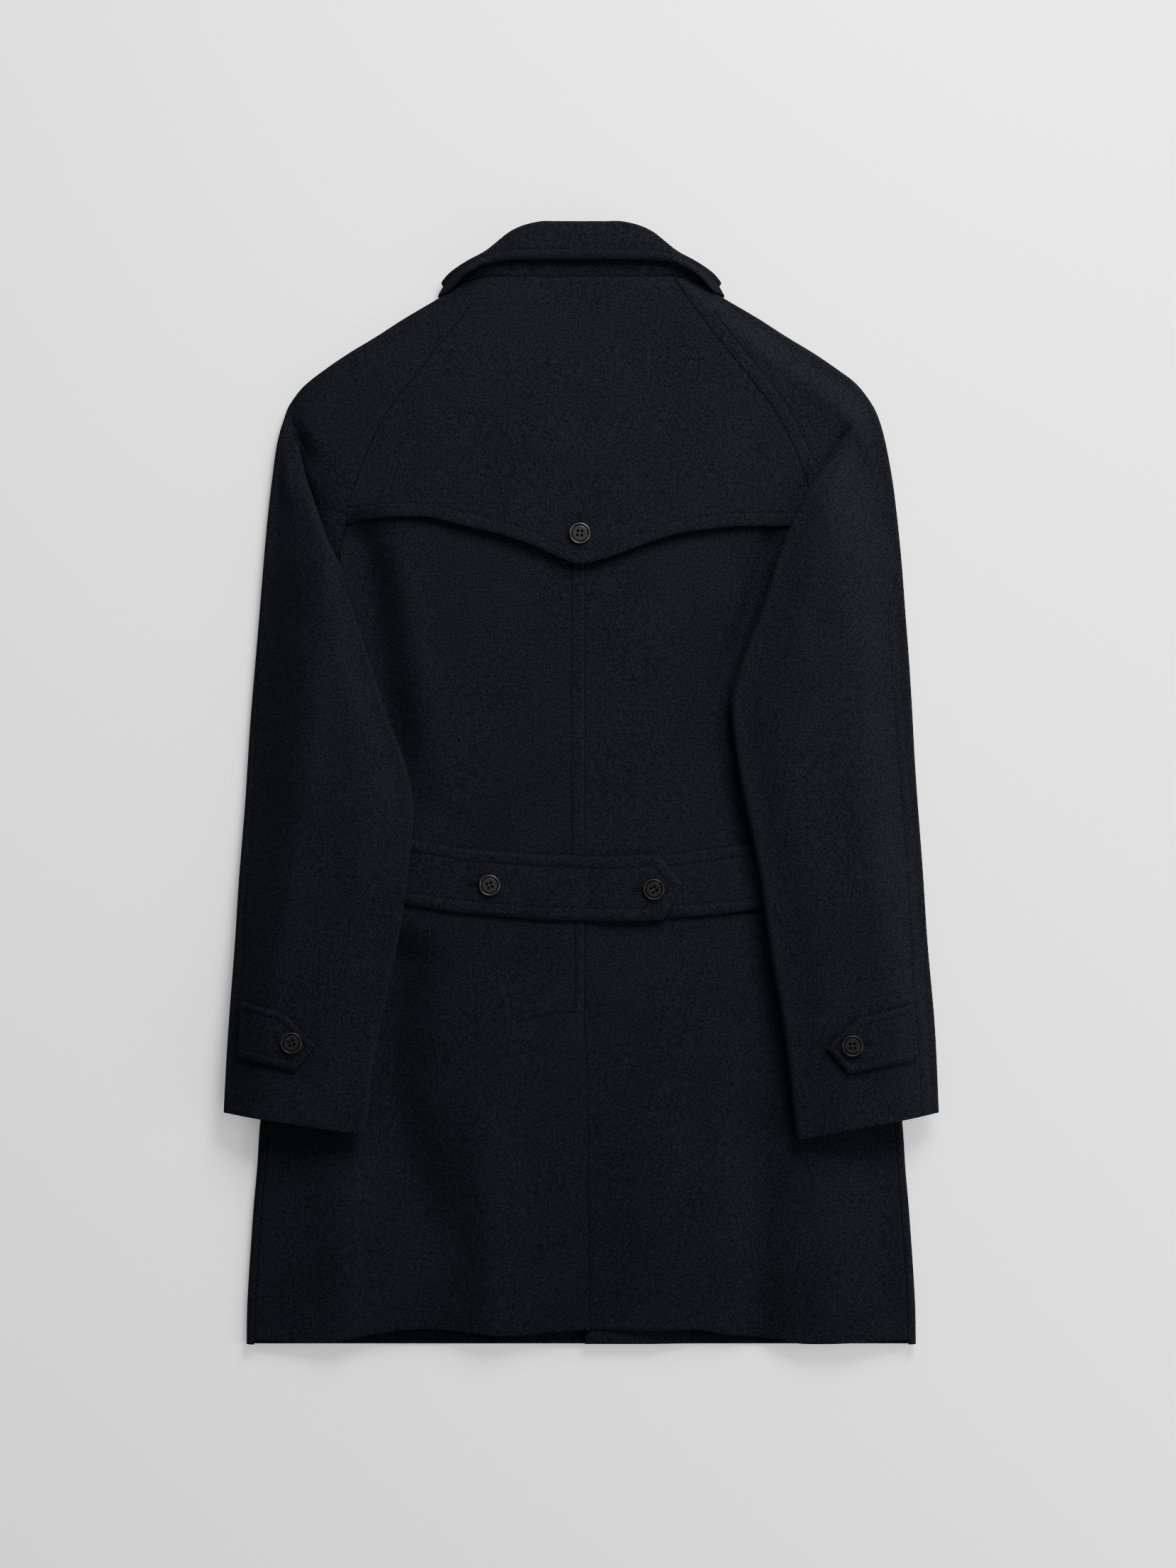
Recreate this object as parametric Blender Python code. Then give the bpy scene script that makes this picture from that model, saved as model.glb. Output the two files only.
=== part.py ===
"""Dark raglan coat laid out on its front, cut panel by panel.

Every size is in millimetres. X runs across the coat (left of the wearer is negative),
Y from hem to collar and Z up from the surface that it lies on. A panel is the middle
surface of its cloth, a grid of points, and Solidify gives it the cloth's thickness.
"""
import math
from collections import namedtuple

import bmesh
import bpy
from mathutils import Vector

MM = 0.001
CLOTH = 2.0
SEAM = 0.3
LAYER = CLOTH + SEAM

# Body
EDGE_BEND = 4.0
SEAM_LEAD = 1.0
EDGE_TOP = CLOTH / 2 + 2 * EDGE_BEND
SIDE_SEAM = CLOTH / 2 + EDGE_BEND + 2 * SEAM_LEAD
BACK_RISE = 90.0
UNDERARM = 190.0
UNDERARM_TURN = 6.0
UNDERARM_FADE = 24.0
ARMHOLE_TOP = 225.0
NECK_BACK = 428.5
CENTRE_SEAM = 2.2
VENT_TOP = -193.0
VENT_UNDERLAP = 30.0
VENT_EDGE = (4.0, 7.0)
VENT_DIP = 2.6
VENT_DIP_FROM = 14.0
VENT_DIP_FADE = 36.0
FRONT_HEM = -475.0
BACK_HEM = -468.0
HEM_REACH = 80.0
LEFT_FRONT_EDGE = 51.0
RIGHT_FRONT_EDGE = 3.0
RIGHT_FRONT_STEP = 2 * LAYER
STEP_FROM = 56.0
STEP_TO = 96.0
NECK_FRONT = 345.0
COLLAR_ROOM = 2.8
COLLAR_ROOM_FROM = 250.0
COLLAR_ROOM_RISE = 30.0
COLLAR_ROOM_HALF = 168.0
COLLAR_ROOM_FADE = 32.0
COLLAR_LEAD = 2.0
FRONT_COLUMNS = 8
FACING_LEFT = (-50.7, -18.0, 28.0, 74.0)
FACING_RIGHT = (3.3, 28.0, STEP_FROM, 76.0, 92.0)
FACING_GAP = LAYER + 0.1
FACING_HEM = FRONT_HEM + 0.5
FACING_TOP = 338.0

# Sleeves
ON_BODY = 22.8
FALL_OFF = 60.0
RAGLAN_GAP = 0.9
SLEEVE_RISE = 42.0
SLEEVE_BEND = 4.0
BEND_COLUMNS = 5
OVERARM = {-1: 6.5, 1: 15.5}
OVERARM_SHARE = 0.4
STEEPEST_ROW = 0.2

# Buttons
BUTTON_RADIUS = 9.0
BUTTON_STEPS = 18
BUTTON_RINGS = (0.0, 0.35, 0.72)
HOLE_RADIUS = 0.9
HOLE_OFFSET = 2.28
HOLE_STEPS = 6
HOLE_DEPTH = 12.0

# Half width of the body at its side edge, below the underarm.
BODY_SIDE = (
    # y, half width
    (-476, 284.0), (-446, 283.6), (-416, 282.0), (-386, 280.0), (-356, 277.8), (-326, 275.1),
    (-287, 272.4), (-180, 258.0), (-60, 236.0), (60, 220.0), (190, 212.0),
)
# Half width of the back at its raglan seam.
RAGLAN = (
    # y, half width
    (190, 212), (223, 201), (244, 193), (265, 186), (291, 175), (318, 160), (345, 139),
    (369, 120), (392, 102), (422, 80), (429, 76),
)
# Half width at which the back lies down to the height of its side edge.
BACK_SPREAD = (
    # y, half width
    (-476, 284.0), (-386, 280.0), (-287, 272.4), (-180, 258.0), (-60, 236.0), (60, 220.0),
    (188, 212.0), (196, 246.0), (212, 270.0), (250, 285.0), (330, 270.0), (430, 205.0),
)
CROWN = (
    # y, height of the middle of the back
    (-476, 16.5), (-300, 17.2), (-100, 18.0), (100, 18.0), (260, 17.6), (350, 17.0), (430, 16.0),
)
# Soft flutes of the skirt.
FLUTES = (
    # x at the belt, x at the hem, height, half width
    (-196, -214, 1.2, 30), (-128, -142, -1.5, 28), (-74, -68, 1.0, 30),
    (88, 98, 1.0, 30), (136, 152, -1.5, 28), (196, 222, 1.2, 30),
)
FLUTE_TOP = -130.0
FLUTE_LENGTH = 260.0
FLUTE_RUN = 340.0
HEM_LINE = (
    # x, y of the back's hem
    (-290, -470.5), (-217, -473.0), (-172, -465.0), (-128, -461.4), (-67, -467.0), (-20, -464.0),
    (6, -462.0), (49, -463.0), (98, -462.3), (120, -466.0), (160, -470.0), (191, -474.0), (290, -470.5),
)
FLAP_EDGE = (
    # x, y of the flap's lower edge
    (-208, 220), (-179, 225), (-153, 226), (-129, 225), (-99, 218), (-69, 211), (-39, 201),
    (-19, 192), (-2, 186), (24, 192), (43, 199), (62, 206), (82, 211.5), (101, 214.5),
    (129, 217.5), (154, 218), (208, 218),
)
FLAP_HALF = 205.0
FLAP_LIFT = 3.2
FLAP_LOOSE = 190.0
FRONT_NECK = (
    # y, half width of the front's neckline
    (345, -10), (347, 5), (352, 30), (368, 48), (390, 58), (410, 64), (429, 68),
)
COLLAR = (
    # neck x y z, roll x y z, free edge x y z, radius of the roll, turn of the fall from up
    (0, 429.4, 16.0, 0, 474.5, 21.0, 0, 443.5, 29.0, 3.6, 0),
    (18, 429.4, 16.0, 18, 474.5, 21.0, 18, 443.5, 29.0, 3.6, 0),
    (36, 429.6, 16.0, 36, 474.2, 21.0, 36, 443.2, 29.0, 3.6, 0),
    (55, 430.2, 16.0, 58, 467.0, 20.5, 64, 442.5, 28.5, 3.5, 5),
    (72, 430.6, 15.5, 78, 452.0, 19.0, 86, 439.5, 27.0, 3.2, 20),
    (90, 428.4, 13.0, 95, 441.5, 14.5, 105, 431.5, 21.5, 2.8, 55),
    (101.5, 426.6, 8.5, 105, 436.0, 8.5, 117, 425.0, 12.0, 2.0, 100),
    (94, 428.4, 4.4, 102, 438.0, 4.0, 123.5, 415.5, 1.4, 1.4, 165),
    (80, 430.6, 3.9, 86, 446.0, 3.9, 122, 396.0, 1.2, 1.35, 180),
    (66, 431.0, 3.9, 68, 452.0, 3.9, 112, 368.0, 1.2, 1.35, 180),
    (54, 396.0, 3.9, 56, 432.0, 3.9, 92, 335.0, 1.2, 1.35, 180),
    (32, 362.0, 3.9, 33, 402.0, 3.9, 70, 308.0, 1.2, 1.35, 180),
    (6, 350.5, 3.9, 6, 392.0, 3.9, 46, 292.0, 1.2, 1.35, 180),
)
# Rows across a sleeve, from its inner edge to its outer edge. The cap's rows start on the raglan seam.
# lift: 0 on the floor, 1 on the body. loft: hollow between the two sheets. roll: 1 where the inner
# edge is folded round. under: how far in the lower sheet starts.
CAP_ROWS = (
    # inner x y, outer x y, lift, loft, roll, under
    (75, 428.3, 99, 423.9, 0, 8, 0, 0),
    (90, 407.1, 130, 405.9, 0, 8, 0, 0),
    (110, 380.7, 153, 392.7, 0, 8, 0, 0),
    (132, 351.9, 177, 377.7, 0, 8, 0, 0),
    (153, 321.9, 198, 365.1, 0, 8, 0, 0),
    (171, 293.1, 219, 350.7, 0, 8, 0, 0),
)
SLEEVE_RIGHT = CAP_ROWS + (
    (184.9, 268.0, 234, 339.0, 0.5, 8, 0, 16),
    (192, 251.0, 247, 322.0, 1, 5.4, 1, 4),
    (187, 236.0, 253.8, 306.0, 1, 13, 1, 0),
    (175.2, 213.9, 259.2, 284.7, 1, 15, 1, 0),
    (162.6, 180.3, 265.2, 249.9, 1, 16, 1, 0),
    (151.2, 144.9, 271.2, 195.9, 1, 16, 1, 0),
    (138.6, 113.1, 275.4, 141.9, 1, 16, 1, 0),
    (130.2, 90.3, 278.4, 102.9, 1, 16, 1, 0),
    (125.7, 66.3, 280.8, 63.9, 1, 16, 1, 0),
    (132.6, 8.7, 283.8, 8.7, 1, 15, 1, 0),
    (149.4, -74.7, 289.8, -74.7, 1, 15, 1, 0),
    (158.4, -137.7, 293.4, -134.1, 1, 14, 1, 0),
    (171, -213.9, 299.4, -206.1, 1, 13, 1, 0),
    (181, -299.7, 302.4, -277.5, 1, 12, 1, 0),
)
SLEEVE_LEFT = CAP_ROWS + (
    (186, 262.0, 236, 337.0, 0.5, 8, 0, 16),
    (199, 226.0, 247, 322.5, 1, 5.4, 1, 4),
    (206, 196.0, 250.5, 314.0, 1, 6, 1, 0),
    (200, 168.0, 257, 292.0, 1, 13, 1, 0),
    (193, 145.0, 261.5, 262.0, 1, 15, 1, 0),
    (185.4, 122.7, 266.4, 219.9, 1, 16, 1, 0),
    (166.2, 63.9, 273.6, 135.9, 1, 16, 1, 0),
    (147.6, 12.9, 280.8, 51.9, 1, 16, 1, 0),
    (141.6, -24.9, 285, -14.1, 1, 16, 1, 0),
    (147.6, -87.3, 290.4, -83.1, 1, 15, 1, 0),
    (155.4, -137.7, 293.4, -134.1, 1, 14, 1, 0),
    (174.6, -231.9, 299.4, -218.1, 1, 13, 1, 0),
    (181.8, -295.5, 302.4, -277.5, 1, 12, 1, 0),
)
SLEEVES = {-1: SLEEVE_LEFT, 1: SLEEVE_RIGHT}
SleeveRow = namedtuple("SleeveRow", "inner direction length lift loft roll under bend")
SIDE_NAME = {-1: "left", 1: "right"}

# Half belt, as rows across it.
BELT_LEFT = (
    # x of the top, y of the top, x of the bottom, y of the bottom
    (-231, -38, -236, -89), (-190, -42, -195, -94), (-141, -48, -149, -101), (-93, -56, -113, -107),
    (-34, -60, -34, -114), (0, -61.5, 0, -115), (26, -62, 26, -115), (44, -61, 47, -115),
    (64, -59.5, 69, -114), (75, -71, 77.5, -100), (85, -82.5, 85, -85.5),
)
BELT_RIGHT = (
    (34, -62.5, 34, -113.5), (55, -61.5, 55, -113.5), (76, -60, 74, -113), (110, -55, 110, -110.5),
    (140, -52, 152, -106), (185, -45, 190, -98), (231, -38, 236, -89),
)
BELT_LAP = (2, 30)
# Straps on the cuffs: corners from the overarm seam to the tip, top edge then lower edge.
STRAPS = {
    -1: ((-286.5, -183, -288.5, -229.5), (-268, -188, -266, -235), (-250, -193, -241, -241),
         (-236, -207, -232, -230.5), (-223.6, -219.4, -223.6, -220.6)),
    1: ((279.5, -185.5, 283, -231), (256, -191.5, 254, -237), (232, -197.5, 225, -243),
        (219, -209.5, 215.5, -232.5), (206.6, -221.4, 206.6, -222.6)),
}
STRIP_CROSS = 4
STRIP_STEP = 12.0
STRIP_GAP = 0.7
STRAP_GAP = 1.4
BUTTON_PROFILE = (
    # radius, height
    (0.0, 0.0), (6.4, 0.0), (8.5, 0.8), (9.0, 1.8), (8.6, 2.9), (7.6, 3.3), (6.4, 2.5), (0.0, 2.1),
)
BUTTONS = (
    # name, x, y, what it lies on
    ("button_flap", -1.2, 211.5, "flap"),
    ("button_belt_left", -77.4, -85.5, "belt"),
    ("button_belt_right", 61.2, -88.9, "belt"),
    ("button_cuff_left", -243.5, -217.5, "strap_left"),
    ("button_cuff_right", 227.8, -220.0, "strap_right"),
)

FRONT_ROWS = (
    FRONT_HEM, -430, -380, -330, -280, -230, -190, -150, -105, -60, -10, 45, 100, 145, 190, 197, 205, 214,
    230, 255, 285, 315, 344.5, 347, 352, 360, 370, 390, 410, 428.3,
)
BACK_ROWS = (
    BACK_HEM, -430, -380, -330, -280, -230, -197, VENT_TOP, -190, -150, -105, -60, -10, 45, 100, 145, 190,
    196, 208, 224, 244, 270, 300, 330, 360, 395, NECK_BACK,
)


def smooth(value):
    """Ease from 0 to 1 as the value goes from 0 to 1."""
    value = min(1.0, max(0.0, value))
    return value * value * (3 - 2 * value)


def along(table, at):
    """Second column of a table at a value of the first, along a smooth curve."""
    last = len(table) - 1
    place = 0
    while place < last - 1 and at > table[place + 1][0]:
        place += 1
    x0, y0 = table[place]
    x1, y1 = table[place + 1]
    before = table[max(0, place - 1)]
    after = table[min(last, place + 2)]
    t = min(1.0, max(0.0, (at - x0) / (x1 - x0)))
    slope0 = (y1 - before[1]) / (x1 - before[0]) * (x1 - x0)
    slope1 = (after[1] - y0) / (after[0] - x0) * (x1 - x0)
    t2 = t * t
    t3 = t2 * t
    return ((2 * t3 - 3 * t2 + 1) * y0 + (t3 - 2 * t2 + t) * slope0
            + (3 * t2 - 2 * t3) * y1 + (t3 - t2) * slope1)


def between(a, b, share):
    return a + (b - a) * share


def flutes(x, y):
    """Height that the skirt's soft folds add to the back."""
    share = smooth((FLUTE_TOP - y) / FLUTE_LENGTH)
    total = 0.0
    for top_x, hem_x, height, half_width in FLUTES:
        centre = between(top_x, hem_x, min(1.0, max(0.0, (FLUTE_TOP - y) / FLUTE_RUN)))
        total += height * math.exp(-((x - centre) / half_width) ** 2)
    return total * share


def back_height(x, y):
    """Middle of the back's cloth above the floor."""
    inward = along(BACK_SPREAD, y) - abs(x) - SIDE_SEAM
    rise = smooth(inward / BACK_RISE)
    return EDGE_TOP + (along(CROWN, y) - EDGE_TOP + flutes(x, y)) * rise


def collar_room(x, y):
    """Height that the front is raised by the collar's points under it."""
    upward = smooth((y - COLLAR_ROOM_FROM) / COLLAR_ROOM_RISE)
    inward = smooth((COLLAR_ROOM_HALF - abs(x)) / COLLAR_ROOM_FADE)
    return COLLAR_ROOM * upward * inward


def body_limit(y):
    """Half width of the body, at its side or its raglan seam."""
    return along(BODY_SIDE, y) if y < UNDERARM else along(RAGLAN, y)


def back_edge(y):
    """Half width of the back panel's cloth."""
    if y <= UNDERARM + UNDERARM_TURN:
        return along(BODY_SIDE, min(y, UNDERARM)) - SIDE_SEAM - SEAM / 2
    return along(RAGLAN, y) - SEAM / 2


def on_body(x, y):
    """Height of what a sleeve lies on: the body, then down to the floor outside it."""
    return ON_BODY * (1 - smooth((abs(x) - body_limit(y)) / FALL_OFF))


def raised(height, x, y, gap):
    """Height of a sheet that lies on another, measured square to its slope."""
    step = 1.0
    slope_x = (height(x + step, y) - height(x - step, y)) / (2 * step)
    slope_y = (height(x, y + step) - height(x, y - step)) / (2 * step)
    return height(x, y) + (CLOTH + gap) * math.sqrt(1 + slope_x ** 2 + slope_y ** 2)


def panel(name, grid, colour, even=True):
    """Closed sheet of cloth about a grid of points in millimetres."""
    rows = len(grid)
    columns = len(grid[0])
    bm = bmesh.new()
    bmesh.ops.create_grid(bm, x_segments=rows - 1, y_segments=columns - 1, size=1.0)
    for vert in bm.verts:
        row = round((vert.co.x + 1) / 2 * (rows - 1))
        column = round((vert.co.y + 1) / 2 * (columns - 1))
        vert.co = Vector(grid[row][column]) * MM
    mesh = bpy.data.meshes.new(name)
    bm.to_mesh(mesh)
    bm.free()
    piece = bpy.data.objects.new(name, mesh)
    bpy.context.scene.collection.objects.link(piece)
    sheet = piece.modifiers.new("cloth", 'SOLIDIFY')
    sheet.thickness = CLOTH * MM
    sheet.offset = 0.0
    sheet.use_even_offset = even
    mesh.materials.append(colour)
    return piece


def material(name, colour, roughness):
    made = bpy.data.materials.new(name)
    made.use_nodes = True
    shader = made.node_tree.nodes["Principled BSDF"]
    shader.inputs["Base Color"].default_value = (*colour, 1.0)
    shader.inputs["Roughness"].default_value = roughness
    return made


def bent(length, radius, angle, steps):
    """Points (along, up) of a strip that bends through an angle and then runs on straight."""
    points = []
    arc = radius * angle
    for step in range(steps + 1):
        travelled = length * step / steps
        turned = min(travelled, arc)
        theta = turned / radius
        rest = travelled - turned
        points.append((radius * math.sin(theta) + rest * math.cos(theta),
                       radius * (1 - math.cos(theta)) + rest * math.sin(theta)))
    return points


def front_height(side, across, y):
    """Middle of a front's cloth. The right front lies over the left one at the closing."""
    down = (across - STEP_FROM) / (STEP_TO - STEP_FROM)
    step = RIGHT_FRONT_STEP * (1 - min(1.0, max(0.0, down))) if side > 0 else 0.0
    return CLOTH / 2 + step + collar_room(across, y)


def closing_columns(side, start):
    """Places across a front below its neckline, with the right front's step between two of them."""
    if side < 0:
        return [between(-LEFT_FRONT_EDGE, start, column / FRONT_COLUMNS) for column in range(FRONT_COLUMNS)]
    shares = (0.25, 0.5, 0.75)
    rest = [between(STEP_TO, start, share) for share in shares]
    return [RIGHT_FRONT_EDGE, 0.5 * STEP_FROM, STEP_FROM, 0.5 * (STEP_FROM + STEP_TO), STEP_TO] + rest


def front_grid(side):
    """Front panel from its closing edge to the side seam, where it turns up round the edge."""
    closing = -LEFT_FRONT_EDGE if side < 0 else RIGHT_FRONT_EDGE
    grid = []
    for y in FRONT_ROWS:
        turn = math.pi * (1 - smooth((y - UNDERARM) / UNDERARM_FADE))
        strip = turn * EDGE_BEND + 2 * SEAM_LEAD - SEAM / 2
        limit = along(BODY_SIDE, y) - CLOTH / 2 if y <= UNDERARM else along(RAGLAN, y) - SEAM / 2
        if UNDERARM < y < ARMHOLE_TOP:
            limit -= CLOTH / 2
        inner = closing if y < NECK_FRONT else along(FRONT_NECK, y)
        profile = bent(min(strip, 0.5 * (limit - inner)), EDGE_BEND, max(turn, 0.001), BEND_COLUMNS)
        start = limit - max(point[0] for point in profile)
        row = []
        places = [between(inner, start, column / FRONT_COLUMNS) for column in range(FRONT_COLUMNS)]
        if y < NECK_FRONT:
            places = closing_columns(side, start)
        for across in places:
            row.append((side * across, y, front_height(side, across, y)))
        level = front_height(side, start, y)
        for out, up in profile:
            row.append((side * (start + out), y, level + up))
        grid.append(row)
    return grid


def facing_grid(side):
    """Facing inside the closing edge of a front."""
    columns = FACING_LEFT if side < 0 else FACING_RIGHT
    grid = []
    for y in [FACING_HEM] + [row for row in FRONT_ROWS if FACING_HEM < row < FACING_TOP] + [FACING_TOP]:
        grid.append([(side * across, y, front_height(side, across, y) + FACING_GAP) for across in columns])
    return grid


def back_grid(side):
    """Back panel from the centre seam to the side and raglan seams. The left one laps the vent."""
    columns = 13
    grid = []
    for y in BACK_ROWS:
        dip = 0.0
        centre = CENTRE_SEAM + side * SEAM / 2
        if y <= VENT_TOP and side > 0:
            dip = VENT_DIP
        if y < VENT_TOP:
            down = (VENT_TOP - y) / (VENT_TOP - BACK_HEM)
            centre = between(*VENT_EDGE, down) if side < 0 else CENTRE_SEAM - VENT_UNDERLAP
        edge = side * back_edge(y)
        settle = smooth((y - BACK_HEM) / HEM_REACH)
        row = []
        for column in range(columns + 1):
            x = between(centre, edge, column / columns)
            low = y + (along(HEM_LINE, x) - BACK_HEM) * (1 - settle)
            lowered = dip * (1 - smooth((x - VENT_DIP_FROM) / VENT_DIP_FADE))
            row.append((x, low, back_height(x, y) - lowered))
        grid.append(row)
    return grid


def flap_height(x, y, up):
    """Middle of the flap, lifted off the back towards its loose edge."""
    loose = (1 - up) ** 2 * (1 - min(1.0, abs(x) / FLAP_LOOSE) ** 3)
    return raised(back_height, x, y, STRIP_GAP) + FLAP_LIFT * loose


def flap_grid():
    """Loose flap over the shoulders, caught in the raglan and neck seams."""
    across = 28
    rows = 9
    grid = []
    for step in range(rows + 1):
        up = step / rows
        row = []
        for column in range(across + 1):
            share = 2 * column / across - 1
            lower = along(FLAP_EDGE, share * FLAP_HALF)
            y = between(lower, NECK_BACK, up)
            x = share * (along(RAGLAN, y) - SEAM / 2)
            row.append((x, y, flap_height(x, y, up)))
        grid.append(row)
    return grid


def sleeve_row(side, index):
    """One row of a sleeve: where it starts and runs, and how its two sheets lie."""
    in_x, in_y, out_x, out_y, lift, loft, roll, under = SLEEVES[side][index]
    inner = Vector((in_x, in_y))
    if not roll:
        inner.x = along(RAGLAN, in_y) + RAGLAN_GAP
    run = Vector((out_x, out_y)) - inner
    bend = min(SLEEVE_BEND, loft / 2)
    return SleeveRow(inner, run.normalized(), run.length, lift, loft, roll, under, bend)


def lower_sheet(row, distance):
    """Middle height of a sleeve's lower sheet, a distance from its inner edge."""
    point = row.inner + row.direction * distance
    on_floor = (1 - row.lift) * collar_room(point.x, point.y)
    return CLOTH / 2 + row.lift * on_body(point.x, point.y) + on_floor


def upper_sheet(row, distance):
    """Middle height of a sleeve's upper sheet, a distance from its inner edge."""
    edge = lower_sheet(row, distance) + 2 * row.bend
    turn = row.length - CLOTH / 2 - row.bend
    outward = smooth((turn - distance) / min(SLEEVE_RISE, 0.7 * row.length))
    if row.roll:
        inward = smooth((distance - CLOTH / 2 - row.bend) / SLEEVE_RISE)
        return edge + (row.loft - 2 * row.bend) * outward * inward
    full = max(raised(back_height, row.inner.x, row.inner.y, STRIP_GAP), edge)
    return edge + (full - edge) * outward


def on_row(side, row, distance, height):
    """Point of a sleeve, a distance along one of its rows."""
    point = row.inner + row.direction * distance
    return side * point.x, point.y, height


def overarm(side, length):
    return min(OVERARM[side], OVERARM_SHARE * length)


def seam_along(side, index, at_outer):
    """Width of a seam measured along a row, which may meet the sleeve's edge at a slant."""
    rows = SLEEVES[side]
    start = 2 if at_outer else 0
    first = rows[max(0, index - 1)][start:start + 2]
    last = rows[min(len(rows) - 1, index + 1)][start:start + 2]
    edge = (Vector(last) - Vector(first)).normalized()
    square = abs(sleeve_row(side, index).direction.cross(edge))
    return SEAM / max(STEEPEST_ROW, square)


def sleeve_back_grid(side):
    """Upper sheet of a sleeve, from the overarm seam across and round its inner edge."""
    columns = 9
    grid = []
    for index in range(len(SLEEVES[side])):
        row = sleeve_row(side, index)
        strip = math.pi * row.bend + SEAM_LEAD
        near = CLOTH / 2 + row.bend if row.roll else min(strip, 0.3 * row.length)
        far = row.length - overarm(side, row.length) - seam_along(side, index, True)
        places = [between(far, near, column / columns) for column in range(columns)]
        if not row.roll:
            places += [between(near, 0.0, step / BEND_COLUMNS) for step in range(BEND_COLUMNS + 1)]
        points = [on_row(side, row, distance, upper_sheet(row, distance)) for distance in places]
        if row.roll:
            top = upper_sheet(row, near)
            for out, up in bent(strip, row.bend, math.pi, BEND_COLUMNS):
                points.append(on_row(side, row, near - out, top - up))
        grid.append(points)
    return grid


def sleeve_front_grid(side):
    """Lower sheet of a sleeve, from the overarm seam round its outer edge and back under."""
    columns = 8
    grid = []
    for index in range(len(SLEEVES[side])):
        row = sleeve_row(side, index)
        seam = row.length - overarm(side, row.length)
        turn = row.length - CLOTH / 2 - row.bend
        places = (seam, between(seam, turn, 0.5))
        points = [on_row(side, row, distance, upper_sheet(row, distance)) for distance in places]
        low = lower_sheet(row, turn)
        radius = (upper_sheet(row, turn) - low) / 2
        for step in range(BEND_COLUMNS + 1):
            theta = math.pi * step / BEND_COLUMNS
            height = low + radius * (1 + math.cos(theta))
            points.append(on_row(side, row, turn + row.bend * math.sin(theta), height))
        near = row.under
        if row.roll:
            near += CLOTH / 2 + row.bend + SEAM_LEAD + 2 * seam_along(side, index, False)
        for step in range(1, columns + 1):
            distance = between(turn, near, step / columns)
            points.append(on_row(side, row, distance, lower_sheet(row, distance)))
        grid.append(points)
    return grid


def sleeve_top(side, x, y):
    """Upper middle height of a sleeve at a place on it."""
    place = Vector((abs(x), y))
    found = 0.0
    for index in range(len(SLEEVES[side]) - 1):
        heights = []
        offsets = []
        for row in (sleeve_row(side, index), sleeve_row(side, index + 1)):
            offsets.append(row.direction.cross(place - row.inner))
            heights.append(upper_sheet(row, (place - row.inner).dot(row.direction)))
        if offsets[0] <= 0 < offsets[1]:
            found = between(heights[0], heights[1], offsets[0] / (offsets[0] - offsets[1]))
    return found


def crossed(rows, height):
    """Grid of a strip from rows of top and bottom corners, with the height of its middle."""
    grid = []
    finer = [rows[0]]
    for first, second in zip(rows, rows[1:]):
        count = max(1, round(abs(second[0] - first[0]) / STRIP_STEP))
        for step in range(1, count + 1):
            finer.append([between(a, b, step / count) for a, b in zip(first, second)])
    for top_x, top_y, low_x, low_y in finer:
        row = []
        for step in range(STRIP_CROSS + 1):
            x = between(top_x, low_x, step / STRIP_CROSS)
            y = between(top_y, low_y, step / STRIP_CROSS)
            row.append((x, y, height(x, y)))
        grid.append(row)
    return grid


def belt_right_height(x, y):
    return raised(back_height, x, y, STRIP_GAP)


def belt_left_height(x, y):
    start, end = BELT_LAP
    return belt_right_height(x, y) + LAYER * smooth((x - start) / (end - start))


def strap_height(side):
    def sleeve(x, y):
        return sleeve_top(side, x, y)

    def height(x, y):
        return raised(sleeve, x, y, STRAP_GAP)
    return height


def collar_grids():
    """Stand from the neck seam to near the roll, and fall from there over to the loose edge."""
    stand = []
    fall = []
    order = [(-1, row) for row in reversed(COLLAR[1:])] + [(1, row) for row in COLLAR]
    for side, values in order:
        neck = Vector((side * values[0], values[1], values[2]))
        roll = Vector((side * values[3], values[4], values[5]))
        loose = Vector((side * values[6], values[7], values[8]))
        radius = values[9]
        turn = math.radians(values[10])
        direction = (roll - neck).normalized()
        outward = Vector((side * abs(direction.y), -abs(direction.x), 0)).normalized()
        towards = (Vector((0, 0, 1)) * math.cos(turn) + outward * math.sin(turn))
        towards = (towards - direction * towards.dot(direction)).normalized()
        end = roll - direction * (radius + COLLAR_LEAD)
        stand.append([tuple(neck.lerp(end, step / 3)) for step in range(4)])
        centre = roll - direction * radius + towards * radius
        row = [tuple(end + direction * SEAM)]
        for step in range(BEND_COLUMNS + 1):
            theta = math.pi * step / BEND_COLUMNS
            row.append(tuple(centre + (direction * math.sin(theta) - towards * math.cos(theta)) * radius))
        start = centre + towards * radius
        for step in range(1, 5):
            row.append(tuple(start.lerp(loose, step / 4)))
        fall.append(row)
    return stand, fall


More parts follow.
